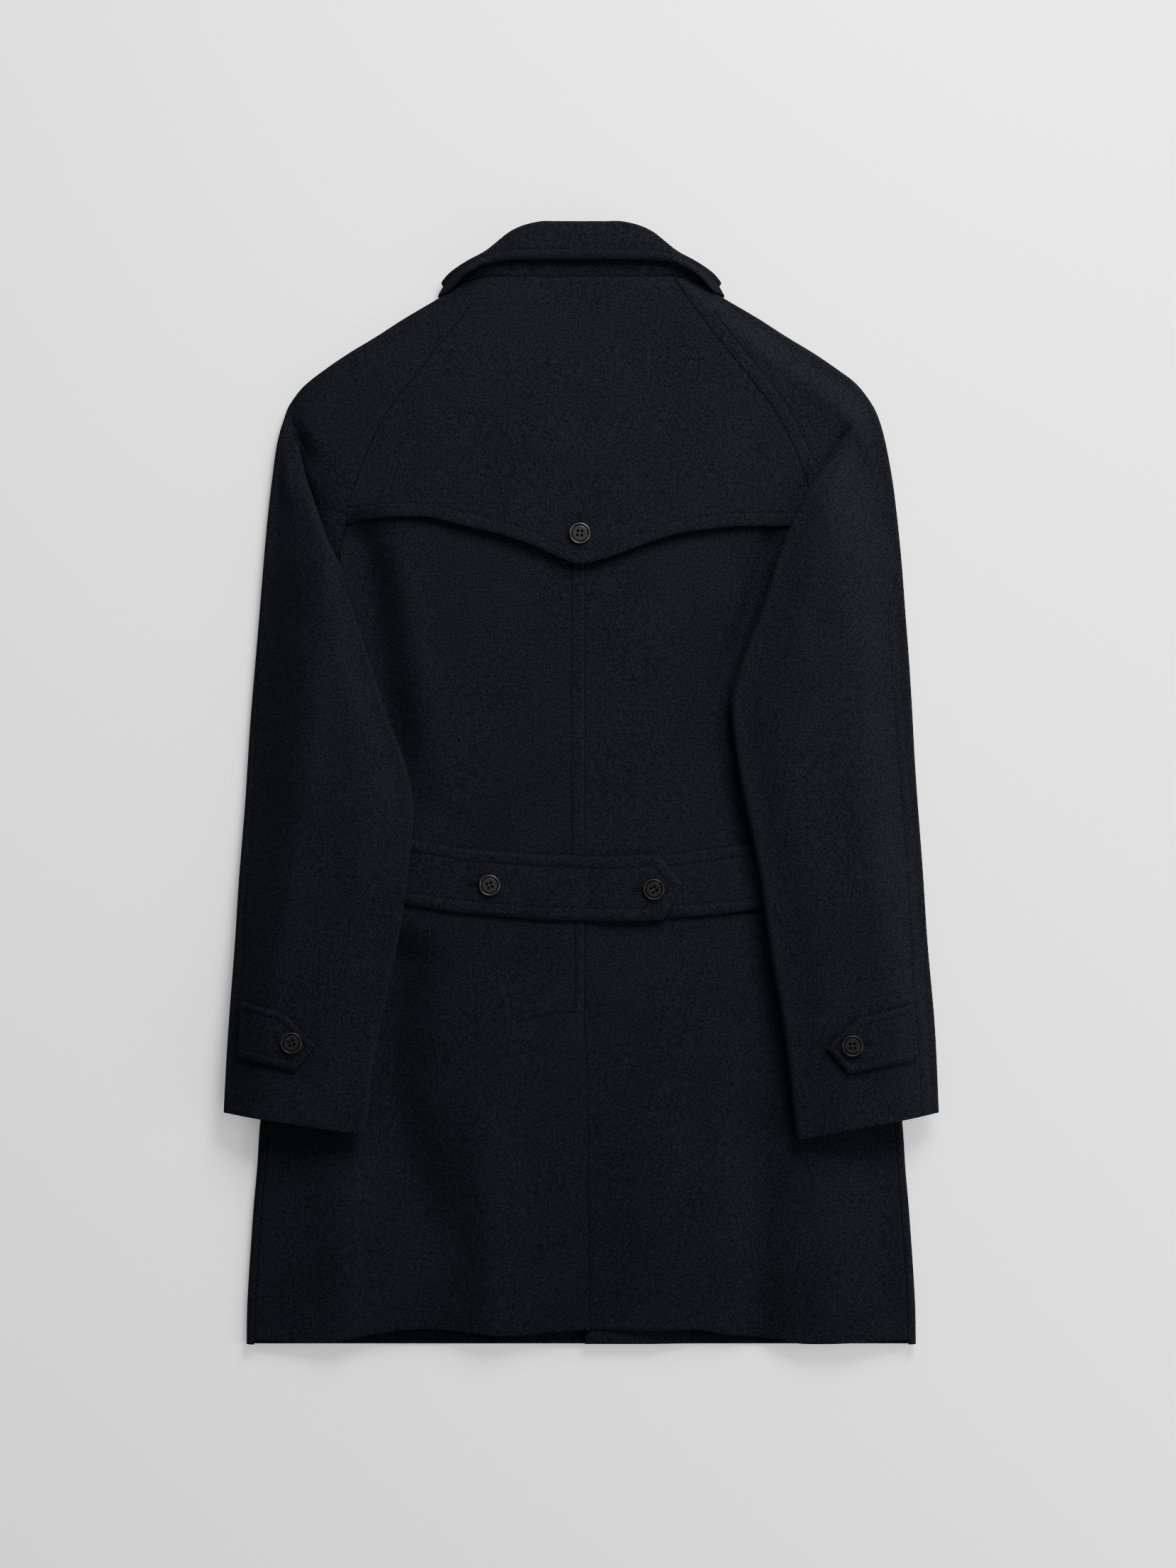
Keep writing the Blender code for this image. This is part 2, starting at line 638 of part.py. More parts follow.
def button(name, x, y, height, colour):
    """Turned button with a raised rim and four holes."""
    bm = bmesh.new()
    verts = [bm.verts.new((radius, 0, up)) for radius, up in BUTTON_PROFILE]
    edges = [bm.edges.new(pair) for pair in zip(verts, verts[1:])]
    bmesh.ops.spin(bm, geom=verts + edges, axis=(0, 0, 1), cent=(0, 0, 0), angle=2 * math.pi,
                   steps=BUTTON_STEPS, use_merge=True)
    bmesh.ops.remove_doubles(bm, verts=bm.verts, dist=0.0005)
    bmesh.ops.recalc_face_normals(bm, faces=bm.faces)
    bmesh.ops.scale(bm, vec=(MM, MM, MM), verts=bm.verts)
    bmesh.ops.translate(bm, vec=Vector((x, y, height)) * MM, verts=bm.verts)
    mesh = bpy.data.meshes.new(name)
    bm.to_mesh(mesh)
    bm.free()
    mesh.materials.append(colour)
    piece = bpy.data.objects.new(name, mesh)
    bpy.context.scene.collection.objects.link(piece)
    cutter_bm = bmesh.new()
    for turn in range(4):
        angle = math.pi / 4 + turn * math.pi / 2
        made = bmesh.ops.create_cone(cutter_bm, cap_ends=True, segments=HOLE_STEPS, radius1=HOLE_RADIUS * MM,
                                     radius2=HOLE_RADIUS * MM, depth=HOLE_DEPTH * MM)
        spot = Vector((x + HOLE_OFFSET * math.cos(angle), y + HOLE_OFFSET * math.sin(angle), height))
        bmesh.ops.translate(cutter_bm, vec=spot * MM, verts=made["verts"])
    cutter_mesh = bpy.data.meshes.new(name + "_holes")
    cutter_bm.to_mesh(cutter_mesh)
    cutter_bm.free()
    cutter = bpy.data.objects.new(name + "_holes", cutter_mesh)
    bpy.context.scene.collection.objects.link(cutter)
    cutter.hide_render = True
    cutter.display_type = 'WIRE'
    holes = piece.modifiers.new("holes", 'BOOLEAN')
    holes.operation = 'DIFFERENCE'
    holes.solver = 'EXACT'
    holes.object = cutter
    return piece


def button_floor(x, y, height):
    """Top of the cloth under a button, at its highest place."""
    highest = -1.0
    for ring in BUTTON_RINGS:
        for step in range(12):
            angle = math.pi * step / 6
            place_x = x + BUTTON_RADIUS * ring * math.cos(angle)
            place_y = y + BUTTON_RADIUS * ring * math.sin(angle)
            highest = max(highest, height(place_x, place_y))
    return highest + CLOTH / 2 + SEAM


def flap_spot(x, y):
    lower = along(FLAP_EDGE, x)
    return flap_height(x, y, max(0.0, (y - lower) / (NECK_BACK - lower)))


def build():
    for item in list(bpy.data.objects):
        bpy.data.objects.remove(item, do_unlink=True)
    wool = material("navy_wool", (0.006, 0.008, 0.013), 0.9)
    horn = material("dark_horn", (0.012, 0.011, 0.011), 0.35)
    for side in (-1, 1):
        name = SIDE_NAME[side]
        panel("front_" + name, front_grid(side), wool)
        panel("facing_" + name, facing_grid(side), wool)
        panel("back_" + name, back_grid(side), wool)
        panel("sleeve_" + name + "_back", sleeve_back_grid(side), wool, even=False)
        panel("sleeve_" + name + "_front", sleeve_front_grid(side), wool, even=False)
        panel("cuff_strap_" + name, crossed(STRAPS[side], strap_height(side)), wool)
    panel("back_flap", flap_grid(), wool)
    panel("half_belt_left", crossed(BELT_LEFT, belt_left_height), wool)
    panel("half_belt_right", crossed(BELT_RIGHT, belt_right_height), wool)
    stand, fall = collar_grids()
    panel("collar_stand", stand, wool)
    panel("collar_fall", fall, wool, even=False)
    lies_on = {
        "flap": flap_spot,
        "belt": belt_left_height,
        "strap_left": strap_height(-1),
        "strap_right": strap_height(1),
    }
    for name, x, y, under in BUTTONS:
        button(name, x, y, button_floor(x, y, lies_on[under]), horn)


build()
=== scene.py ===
"""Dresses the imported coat: wool panels with seams, folds and stitching, horn buttons, a plain stage.

Sizes are in millimetres up to the last step of each mesh, in the frame's own axes: X across the coat,
Y from hem to collar and Z up from the surface that the coat lies on.
"""
import math
from itertools import accumulate

import bmesh
import bpy
from mathutils import Matrix, Vector, noise


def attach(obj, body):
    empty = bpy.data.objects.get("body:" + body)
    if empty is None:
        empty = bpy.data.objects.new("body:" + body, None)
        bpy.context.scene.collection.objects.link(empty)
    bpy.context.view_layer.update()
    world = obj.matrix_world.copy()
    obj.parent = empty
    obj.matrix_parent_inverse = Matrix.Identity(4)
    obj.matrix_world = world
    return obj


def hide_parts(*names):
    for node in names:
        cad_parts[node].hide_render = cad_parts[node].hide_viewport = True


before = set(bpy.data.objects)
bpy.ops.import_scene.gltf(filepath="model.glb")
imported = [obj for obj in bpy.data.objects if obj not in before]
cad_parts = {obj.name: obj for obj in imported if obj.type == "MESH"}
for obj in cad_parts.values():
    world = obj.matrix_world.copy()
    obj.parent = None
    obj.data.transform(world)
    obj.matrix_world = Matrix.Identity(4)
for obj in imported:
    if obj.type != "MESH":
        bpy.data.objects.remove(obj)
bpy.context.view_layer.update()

bl_info = {
    "name": "Raglan coat",
    "version": (1, 0, 0),
    "blender": (4, 5, 0),
    "location": "View3D > Sidebar > Coat",
    "description": "Builds a laid-out wool coat on its packed frame",
    "category": "Object",
}

MM = 0.001
CLOTH = 2.0
SEAM = 0.3
LAYER = CLOTH + SEAM
SMALL_ANGLE = 0.001
# Share of a sheet's thickness that its edges are rounded by
ROUNDED_SHARE = 0.35

# Body
EDGE_BEND = 4.0
SEAM_LEAD = 1.0
EDGE_TOP = CLOTH / 2 + 2 * EDGE_BEND
SIDE_SEAM = CLOTH / 2 + EDGE_BEND + 2 * SEAM_LEAD
BACK_RISE = 90.0
BACK_WIDTH = 270.0
UNDERARM = 190.0
UNDERARM_TURN = 6.0
UNDERARM_UNROLL = 24.0
UNDERARM_TUCK = 225.0
NECK_BACK = 428.5
CENTRE_SEAM = 2.2
CENTRE_DIP = 0.7
# Width of the closely spaced points beside the centre seam, and their number
CENTRE_FINE = (14.0, 15)
# y, x of the stitched line
CENTRE_STITCH = ((-240, -5.4), (-115, -5.4), (-60, -8.0), (230, -8.0))
CENTRE_STITCH_TOP = 205.0
VENT_TOP = -193.0
VENT_OPEN = -215.0
VENT_UNDERLAP = 30.0
VENT_DIP = 2.6
VENT_LEAD = 24.0
VENT_SETTLE = 2.0
VENT_FADE = (22, 46)
VENT_FADE_RUN = 60.0
VENT_GAP = 0.5
VENT_STEP = 1.1
VENT_SHADE_CORD = 0.4
VENT_SUNK = 0.9
VENT_SUNK_WIDTH = 1.3
# y, x of the lapping edge
VENT_EDGE = ((-476, 7.0), (-350, 5.6), (-240, 4.2), (-193, 2.05), (-180, 2.05))
VENT_STITCH = ((-4.0, -192.0), (-54.0, -201.0))
FRONT_HEM = -475.0
FRONT_STEP = 9.0
BACK_HEM = -468.0
HEM_REACH = 80.0
LEFT_FRONT_EDGE = 51.0
RIGHT_FRONT_EDGE = 3.0
RIGHT_FRONT_STEP = 2 * LAYER
STEP_FROM = 56.0
STEP_TO = 96.0
NECK_FRONT = 345.0
COLLAR_ROOM = 2.8
COLLAR_ROOM_FROM = 250.0
COLLAR_ROOM_RISE = 30.0
COLLAR_ROOM_SIDE = 168.0
COLLAR_ROOM_FALL = 32.0
FACING_LEFT = (-50.7, 74.0)
FACING_RIGHT = (3.3, 92.0)
FACING_HEM = FRONT_HEM + 0.5
FACING_TOP = 338.0
FACING_STEP = 10.0
FACING_CROSS_STEP = 6.0
FACING_GAP = 0.2

# Sleeves
ON_BODY = 22.8
FALL_OFF = 60.0
RAGLAN_GAP = 1.5
RAGLAN_STITCH = 10.5
RAGLAN_STITCH_LOW = 256.0
RAGLAN_FROM = 238.0
RAGLAN_RUN = 25.0
RAGLAN_LOW = {-1: 200.0, 1: 246.0}
RAGLAN_DIP = {-1: 0.5, 1: 0.9}
RAGLAN_SUNK = {-1: 0.25, 1: 1.0}
UNDERARM_REACH = 9.0
REACH_RISE = 8.0
REACH_TOP = 300.0
REACH_FADE = 30.0
CAP_RISE = 26.0
SLEEVE_RISE = 42.0
SLEEVE_BEND = 4.0
SLEEVE_RIPPLE = 1.3
SETTLED_FROM = 4.0
SETTLED_RUN = 20.0
FLAT_ROLL = 0.01
# Largest shares of a row's length
OVERARM_SHARE = 0.4
FLAT_SHARE = 0.3
RISE_SHARE = 0.7
OVERARM = {
    # y, distance of the seam from the outer edge
    -1: ((-300, 8.6), (-200, 8.2), (-50, 6.8), (60, 5.0), (140, 1.5), (220, 0.5), (430, 0.5)),
    1: ((-300, 16.2), (-224, 16.2), (-170, 17.0), (-116, 15.2), (-44, 14.6), (28, 15.3), (105, 17.0),
        (143, 16.4), (178, 7.0), (203, 0.8), (215, 0.6), (430, 0.5)),
}
OVERARM_STITCH = 7.6
OVERARM_ROOM = 4.0
OVERARM_DIP = {-1: 0.6, 1: 0.8}
OVERARM_WIDTH = 1.2
SLEEVE_STEP = 3.8
FOLD_STEP = 1.9
FOLD_RUN = 310.0

# Trims
STRIP_CLOTH = 3.0
STRIP_GAP = 0.7
FLAP_LIFT = 6.0
FLAP_STITCH = 11.0
FLAP_STITCH_ENDS = (-196.0, 196.0)
FLAP_PUFF = 0.3
FLAP_RIM = 4.0
FLAP_FINE = 16
FLAP_LOOSE = 190.0
FLAP_WIDTH = 405.0
FLAP_HALF = 205.0
FLAP_DEPTH = 215.0
# Outward, down: points of the edge that is tucked under a sleeve
FLAP_TUCK = ((5.0, 2.7), (1.2, 2.4), (0.2, 1.4))
BELT_STITCH = 9.6
BELT_LAP = (2, 30)
# Step along a strip, and number of steps across it
BELT_STEPS = (1.8, 50)
STRAP_STEPS = (1.6, 42)
STRAP_STITCH = 6.5
COLLAR_STITCH = 7.5
COLLAR_STITCH_LOW = 14.0
COLLAR_CLOTH = 2.2
COLLAR_REST = 1.2
COLLAR_LEAD = 2.0
COLLAR_TUCK = 5.0
COLLAR_TUCK_DOWN = 2.4
COLLAR_BELLY = 0.8
COLLAR_STEP = 4.0
STAND_STEPS = 12
ROLL_STEPS = 10
FALL_STEPS = 24
# Columns of the collar's table that change sign with the side
COLLAR_SIDED = (0, 3, 6, 10)

# Sewing
STITCH_LIFT = 0.05
STITCH_SHARE = 0.78
STITCH_HEIGHT = 0.36
LINE_STEP = 4.0
STRIP_LINE_STEP = 3.0
# Painted shade: a dark cord of stitches that touch, laid in the depth of a seam and along the vent's edge
# where the crease's shadow falls
SEAM_SHADE_CORD = {"pitch": 2.6, "length": 3.4, "width": 1.5}
SHADE_CORD_DEPTH = 0.5
ALLOWANCE_RISE = 0.55
SUNK_WIDTH = 1.1
RIM_SLOPE = 3.0
EDGE_TURN = 1.5
EDGE_DROP = 1.5
EDGE_SUNK = 0.55
HOLE_PITCH = 1.1
HOLE_STITCH = {"pitch": 1.9, "length": 1.9, "width": 0.9}
# x, y, turn in degrees and length of a buttonhole
FLAP_HOLE = (-1.2, 219.0, 90.0, 19.0)
BELT_HOLES = ((-84.0, -85.0, 0.0, 21.0), (54.0, -88.9, 0.0, 21.0))
STRAP_HOLE = (236.0, -219.0, 12.0, 18.0)

# Materials. Sizes of the tufts of fibre, of the drift of the cloth's tone, of the horn's streaks and of
# the thread's twist. The grain is the direction of the twill in degrees.
TUFT = 1.7
DRIFT = 60.0
STREAK = 6.0
TWIST = 0.8
GRAIN = {"body": 52.0, "trim": 38.0, "left": 38.0, "right": 66.0}

# Stage, in metres
FLOOR_HALF = 6.0
FLOOR_LEVEL = -0.0005
LIGHTS = (
    # name, place, aim, size, setting that holds its power
    ("key_light", (0.62, 1.42, 1.22), (0.0, 0.1, 0.0), 1.0, "key_power"),
    ("side_light", (1.50, -0.45, 0.75), (0.0, -0.1, 0.0), 0.9, "side_power"),
)
LENS = 100.0
SENSOR = 36.0
CAMERA_PLACE = (0.0057, 0.0, 3.70)

BODY_SIDE = (
    # y, half width
    (-476, 284.0), (-446, 283.6), (-416, 282.0), (-386, 280.0), (-356, 277.8), (-326, 275.1),
    (-287, 272.4), (-180, 258.0), (-60, 236.0), (60, 220.0), (190, 212.0),
)
RAGLAN = (
    # y, half width
    (190, 212), (223, 201), (244, 193), (265, 186), (291, 175), (318, 160), (345, 139),
    (369, 120), (392, 102), (422, 80), (429, 76),
)
BACK_SPREAD = (
    # y, half width at which the back lies down to the height of its side edge
    (-476, 284.0), (-386, 280.0), (-287, 272.4), (-180, 258.0), (-60, 236.0), (60, 221.0),
    (110, 226.0), (150, 236.0), (190, 252.0), (220, 270.0), (250, 280.0), (330, 270.0), (430, 205.0),
)
CROWN = (
    # y, height of the middle of the back
    (-476, 11.8), (-440, 13.0), (-390, 15.2), (-300, 17.2), (-100, 18.0), (100, 18.0),
    (260, 17.6), (350, 17.0), (430, 16.0),
)
FLUTES = (
    # x at the belt, x at the hem, height, half width
    (-200, -206, 4.0, 22), (-84, -76, 5.0, 22),
    (66, 72, 2.6, 22), (154, 148, -6.5, 20), (230, 238, 7.5, 40),
)
FLUTE_TOP = -130.0
FLUTE_LENGTH = 260.0
FLUTE_RUN = 340.0
HEM_LINE = (
    # x, y of the back's hem
    (-290, -470.5), (-217, -473.0), (-172, -465.0), (-128, -461.4), (-67, -467.0), (-20, -464.0),
    (6, -462.0), (49, -463.0), (98, -462.3), (120, -466.0), (160, -470.0), (191, -474.0), (290, -470.5),
)
FLAP_EDGE = (
    # x, y of the flap's lower edge
    (-208, 220), (-179, 225), (-153, 226), (-129, 225), (-99, 218), (-69, 211), (-39, 201),
    (-19, 192), (-2, 186), (24, 192), (43, 199), (62, 206), (82, 211.5), (101, 214.5),
    (129, 217.5), (154, 218), (208, 218),
)
FRONT_NECK = (
    # y, half width of the front's neckline
    (345, -10), (347, 5), (352, 30), (368, 48), (390, 58), (410, 64), (429, 68),
)
COLLAR = (
    # neck x y z, roll x y z, free edge x y z, radius of the roll, turn of the fall from up
    (0, 429.4, 16.0, 0, 474.5, 21.0, 0, 443.5, 25.4, 3.2, 0),
    (18, 429.4, 16.0, 18, 474.5, 21.0, 18, 443.5, 25.4, 3.2, 0),
    (36, 429.6, 16.0, 36, 474.2, 21.0, 36, 443.2, 25.4, 3.2, 0),
    (55, 430.2, 16.0, 58, 467.0, 20.5, 64, 442.5, 25.2, 3.1, 5),
    (72, 430.6, 15.5, 79, 451.0, 19.2, 84, 438.0, 24.3, 2.9, 14),
    (90, 428.4, 13.0, 95, 442.5, 16.0, 99, 429.5, 21.5, 2.6, 28),
    (101.5, 426.6, 8.5, 111, 433.0, 11.5, 112, 416.5, 14.5, 2.0, 60),
    (101, 426.5, 6.2, 117.5, 425.5, 7.5, 120.5, 414.0, 6.4, 1.6, 100),
    (94, 428.4, 4.4, 102, 438.0, 4.0, 120.5, 411.5, 1.4, 1.4, 165),
    (80, 430.6, 3.9, 86, 446.0, 3.9, 122, 396.0, 1.2, 1.35, 180),
    (66, 431.0, 3.9, 68, 452.0, 3.9, 112, 368.0, 1.2, 1.35, 180),
    (54, 396.0, 3.9, 56, 432.0, 3.9, 92, 335.0, 1.2, 1.35, 180),
    (32, 362.0, 3.9, 33, 402.0, 3.9, 70, 308.0, 1.2, 1.35, 180),
    (6, 350.5, 3.9, 6, 392.0, 3.9, 46, 292.0, 1.2, 1.35, 180),
)
# Rows across a sleeve. lift: 0 on the floor, 1 on the body. loft: hollow between its two sheets.
# roll: 1 where the inner edge is folded round. under: how much further in the lower sheet starts.
CAP_ROWS = (
    # inner x y, outer x y, lift, loft, roll, under
    (75, 428.3, 99, 423.9, 0, 8, 0, 0),
    (90, 407.1, 130, 405.9, 0, 8, 0, 0),
    (110, 380.7, 153, 392.7, 0, 8, 0, 0),
    (132, 351.9, 177, 377.7, 0, 8, 0, 0),
    (153, 321.9, 198, 365.1, 0, 8, 0, 0),
    (171, 293.1, 219, 350.7, 0, 8, 0, 0),
)
SLEEVES = {
    1: CAP_ROWS + (
        (184.9, 268.0, 234, 339.0, 0.5, 8, 0, 24),
        (192, 251.0, 247, 322.0, 1, 5.4, 0.02, 28),
        (187, 236.0, 253.8, 306.0, 1, 13, 1, 0),
        (175.2, 213.9, 259.2, 284.7, 1, 15, 1, 0),
        (162.6, 180.3, 265.2, 249.9, 1, 16, 1, 0),
        (151.2, 144.9, 271.2, 195.9, 1, 16, 1, 0),
        (138.6, 113.1, 275.4, 141.9, 1, 16, 1, 0),
        (130.2, 90.3, 278.4, 102.9, 1, 16, 1, 0),
        (125.7, 66.3, 280.8, 63.9, 1, 16, 1, 0),
        (132.6, 8.7, 283.8, 8.7, 1, 15, 1, 0),
        (149.4, -74.7, 289.8, -74.7, 1, 15, 1, 0),
        (158.4, -137.7, 293.4, -134.1, 1, 14, 1, 0),
        (171, -213.9, 299.4, -206.1, 1, 13, 1, 0),
        (181, -299.7, 302.4, -277.5, 1, 12, 1, 0),
    ),
    -1: CAP_ROWS + (
        (186, 262.0, 236, 337.0, 0.5, 8, 0, 30),
        (199, 226.0, 247, 322.5, 1, 5.4, 0.02, 88),
        (203, 196.0, 250.5, 314.0, 1, 6, 0.02, 96),
        (200, 168.0, 257, 292.0, 1, 13, 1, 22),
        (193, 145.0, 261.5, 262.0, 1, 15, 1, 0),
        (185.4, 122.7, 266.4, 219.9, 1, 16, 1, 0),
        (166.2, 63.9, 273.6, 135.9, 1, 16, 1, 0),
        (147.6, 12.9, 280.8, 51.9, 1, 16, 1, 0),
        (141.6, -24.9, 285, -14.1, 1, 16, 1, 0),
        (147.6, -87.3, 290.4, -83.1, 1, 15, 1, 0),
        (155.4, -137.7, 293.4, -134.1, 1, 14, 1, 0),
        (174.6, -231.9, 299.4, -218.1, 1, 13, 1, 0),
        (181.8, -295.5, 302.4, -277.5, 1, 12, 1, 0),
    ),
}
SIDE_NAME = {-1: "left", 1: "right"}
BELT_LEFT = (
    # x of the top, y of the top, x of the bottom, y of the bottom
    (-231, -38, -236, -89), (-190, -42, -195, -94), (-141, -48, -149, -101), (-93, -56, -113, -107),
    (-34, -60, -34, -114), (0, -61.5, 0, -115), (26, -62, 26, -115), (44, -61, 47, -115),
    (64, -59.5, 69, -114), (75, -71, 77.5, -100), (85, -83.6, 85, -84.4),
)
BELT_RIGHT = (
    (34, -62.5, 34, -113.5), (55, -61.5, 55, -113.5), (76, -60, 74, -113), (110, -55, 110, -110.5),
    (140, -52, 152, -106), (185, -45, 190, -98), (231, -38, 236, -89),
)
STRAPS = {
    # corners from the overarm seam to the tip, top edge then lower edge
    -1: ((-286.5, -183, -288.5, -229.5), (-268, -188, -266, -235), (-250, -193, -241, -241),
         (-236, -207, -232, -230.5), (-223.6, -219.4, -223.6, -220.6)),
    1: ((279.5, -185.5, 283, -231), (256, -191.5, 254, -237), (232, -197.5, 225, -243),
        (219, -209.5, 215.5, -232.5), (206.6, -221.4, 206.6, -222.6)),
}
BUTTON_RIM = (
    # radius, height: round the rim and back to the start
    (6.95, 0.0), (7.5, 0.0), (8.1, 0.35), (8.65, 0.9), (8.92, 1.5), (9.0, 2.0), (8.85, 2.6), (8.5, 3.0),
    (8.1, 3.15), (7.75, 3.0), (7.5, 2.6), (7.3, 2.0), (7.1, 1.2), (6.95, 1.0), (6.95, 0.0),
)
BUTTON_MIDDLE = (
    # radius, height: flat underside, sunk ring and a low middle
    (0.0, 0.0), (6.9, 0.0), (6.9, 1.0), (6.75, 1.3), (6.55, 2.1), (6.35, 2.45), (6.0, 2.6), (4.5, 2.5),
    (0.0, 2.4),
)
HOLE_RADIUS = 1.2
HOLE_OFFSET = 2.55
THREAD_RADIUS = 0.8
THREAD_RISE = 0.5
HORN_PAINTED_LIGHT = {
    # share of the horn's colour, gloss of the rim, gloss of the middle; painted light: paler, glossier horn
    # for a button that catches more light, darker and duller for one in less
    "pale": (1.0, 0.5, 0.17),
    "mid": (0.9, 0.33, 0.11),
    "dark": (0.6, 0.16, 0.07),
}
BUTTONS = (
    # node, x, y, turn of its holes in degrees, what it lies on, tone of its horn painted for how brightly
    # the button is lit
    ("button_flap", -1.2, 211.5, 40, "flap", "pale"),
    ("button_belt_left", -77.4, -85.5, 65, "belt", "mid"),
    ("button_belt_right", 61.2, -88.9, 76, "belt", "dark"),
    ("button_cuff_left", -243.5, -217.5, 65, "strap_left", "dark"),
    ("button_cuff_right", 227.8, -220.0, 50, "strap_right", "dark"),
)
# Soft troughs and ridges of the cloth: height, half width on the +X side and on the
# other one, and a path from the top down.
BACK_CREASES = (
    (-13.0, 20.0, 30.0, ((-194, 240), (-189, 207), (-183, 170), (-178, 124), (-171, 80), (-158, 30),
                         (-146, -15), (-140, -55))),
    (2.6, 14.0, 14.0, ((-158, 215), (-150, 170), (-141, 124), (-136, 80), (-132, 40))),
    (-6.0, 10.0, 10.0, ((163, 222), (152, 180), (141, 145), (129, 112), (120, 85), (114, 45))),
    (-4.5, 10.0, 10.0, ((124, 30), (130, -20), (141, -80), (151, -140), (161, -200), (169, -255),
                         (174, -320))),
    (-13.0, 28.0, 60.0, ((-152, -112), (-158, -160), (-163, -210), (-162, -260), (-148, -320), (-131, -380),
                         (-123, -440))),
)
SLEEVE_CREASES = {
    -1: ((2.4, 6.0, 6.0, ((-256, 292), (-250, 258), (-244, 228))),
         (-1.6, 8.0, 8.0, ((-263, 268), (-262, 225), (-263, 180)))),
    1: ((2.6, 7.0, 7.0, ((247, 322), (243, 298), (235, 268))),
        (-1.8, 8.0, 8.0, ((257, 306), (259, 270), (263, 225))),
        (-1.4, 14.0, 14.0, ((204, 150), (222, 96), (236, 40)))),
}
# Where a sleeve folds over itself below the shoulder, from its dimple down to the inner edge.
SLEEVE_FOLDS = {
    -1: ((-244, 294), (-240, 284), (-233, 257), (-228, 241), (-220, 218), (-214.5, 203), (-207, 188)),
    1: ((234, 307), (225, 295), (215, 282), (203, 263), (191, 243)),
}
FOLD_RIDGE = 3.0
RIDGE_WIDTH = 15.0
FOLD_TROUGH = {-1: 7.5, 1: 5.0}
TROUGH_WIDTH = 6.0
FOLD_LIP = 1.4
FOLD_REACH = 70.0
# Shares of a fold's length
FOLD_START = 0.18
FOLD_FADE_FROM = 0.45
FOLD_FADE_RUN = 0.4
UNDERARM_START = 0.35
FOLD_FADE = 0.6
UNDERARM_LEVEL = 17.0
UNDERARM_SPAN = 90.0
UNDERARM_END = 12.0
# Shares of a crease's length over which it deepens and dies out
CREASE_ENDS = (0.12, 0.4)
CREASE_REACH = 3.0
RIPPLES = (
    # length across, length down, height, shift of the pattern
    (85, 120, 0.8, 0), (30, 44, 0.22, 7),
)
FRONT_ROWS = (
    FRONT_HEM, -430, -380, -330, -280, -230, -190, -150, -105, -60, -10, 45, 100, 145, 190, 197, 205, 214,
    230, 255, 285, 315, 344.5, 347, 352, 360, 370, 390, 410, 428.3,
)
BACK_ROWS_LOW = (BACK_HEM, -440, VENT_OPEN)
BACK_ROWS_VENT = (VENT_OPEN, VENT_TOP, VENT_TOP + 1.5, VENT_TOP + 4)
BACK_ROWS_HIGH = (VENT_TOP + 4, 190, 196, NECK_BACK)


def linear(text):
    """Linear colour of an sRGB hex value."""
    parts = [int(text[place:place + 2], 16) / 255 for place in (1, 3, 5)]
    return tuple(p / 12.92 if p <= 0.04045 else ((p + 0.055) / 1.055) ** 2.4 for p in parts) + (1.0,)


class CoatSettings(bpy.types.PropertyGroup):
    """Sizes and colours of the coat that a user would change"""

    wool: bpy.props.FloatVectorProperty(
        name="Wool", description="Colour of the cloth between its raised fibres", subtype='COLOR', size=4,
        default=linear("#040406"))
    wool_fibre: bpy.props.FloatVectorProperty(
        name="Raised fibres", description="Colour of the fibres on the cloth's face", subtype='COLOR',
        size=4, default=linear("#131318"))
    wool_cool: bpy.props.FloatVectorProperty(
        name="Cooler fibres", description="Colour that the raised fibres drift to", subtype='COLOR', size=4,
        default=linear("#111318"))
    horn: bpy.props.FloatVectorProperty(
        name="Horn", description="Colour of the buttons", subtype='COLOR', size=4,
        default=linear("#1b1b1c"))
    horn_streak: bpy.props.FloatVectorProperty(
        name="Horn streaks", description="Colour of the paler streaks in the buttons", subtype='COLOR',
        size=4, default=linear("#33291f"))
    # The thread's colour is also that of the dark cords laid in seams and along the vent as painted shade
    thread: bpy.props.FloatVectorProperty(
        name="Thread", description="Colour of the sewing thread", subtype='COLOR', size=4,
        default=linear("#040507"))
    floor: bpy.props.FloatVectorProperty(
        name="Floor", description="Colour of the surface under the coat", subtype='COLOR', size=4,
        default=linear("#f4f4f4"))
    twill_pitch: bpy.props.FloatProperty(
        name="Twill pitch", description="Distance between the twill's diagonal ribs", unit='LENGTH',
        default=1.9 * MM)
    stitch_pitch: bpy.props.FloatProperty(
        name="Stitch pitch", description="Distance between stitches", unit='LENGTH', default=3.4 * MM)
    stitch_width: bpy.props.FloatProperty(
        name="Stitch width", description="Width of the sewing thread", unit='LENGTH', default=0.7 * MM)
    cloth_step: bpy.props.FloatProperty(
        name="Cloth step", description="Spacing of the points on the visible cloth", unit='LENGTH',
        default=3.6 * MM)
    key_power: bpy.props.FloatProperty(
        name="Key light", description="Power of the large light beyond the right shoulder", unit='POWER',
        default=102.0)
    side_power: bpy.props.FloatProperty(
        name="Side light", description="Power of the light beyond the right cuff", unit='POWER',
        default=26.0)
    sky: bpy.props.FloatProperty(
        name="Soft light", description="Strength of the even light from all round", default=0.74)


def settings():
    """The coat's settings in this scene."""
    return bpy.context.scene.coat


# Shape


def smooth(value):
    """Ease from 0 to 1 as the value goes from 0 to 1."""
    value = clamp(value)
    return value * value * (3 - 2 * value)


def clamp(value):
    """Value kept from 0 to 1."""
    return min(1.0, max(0.0, value))


def between(a, b, share):
    """Value a share of the way from one to another."""
    return a + (b - a) * share


def bell(distance, half_width):
    """Smooth hump of height 1 about no distance."""
    return math.exp(-(distance / half_width) ** 2)


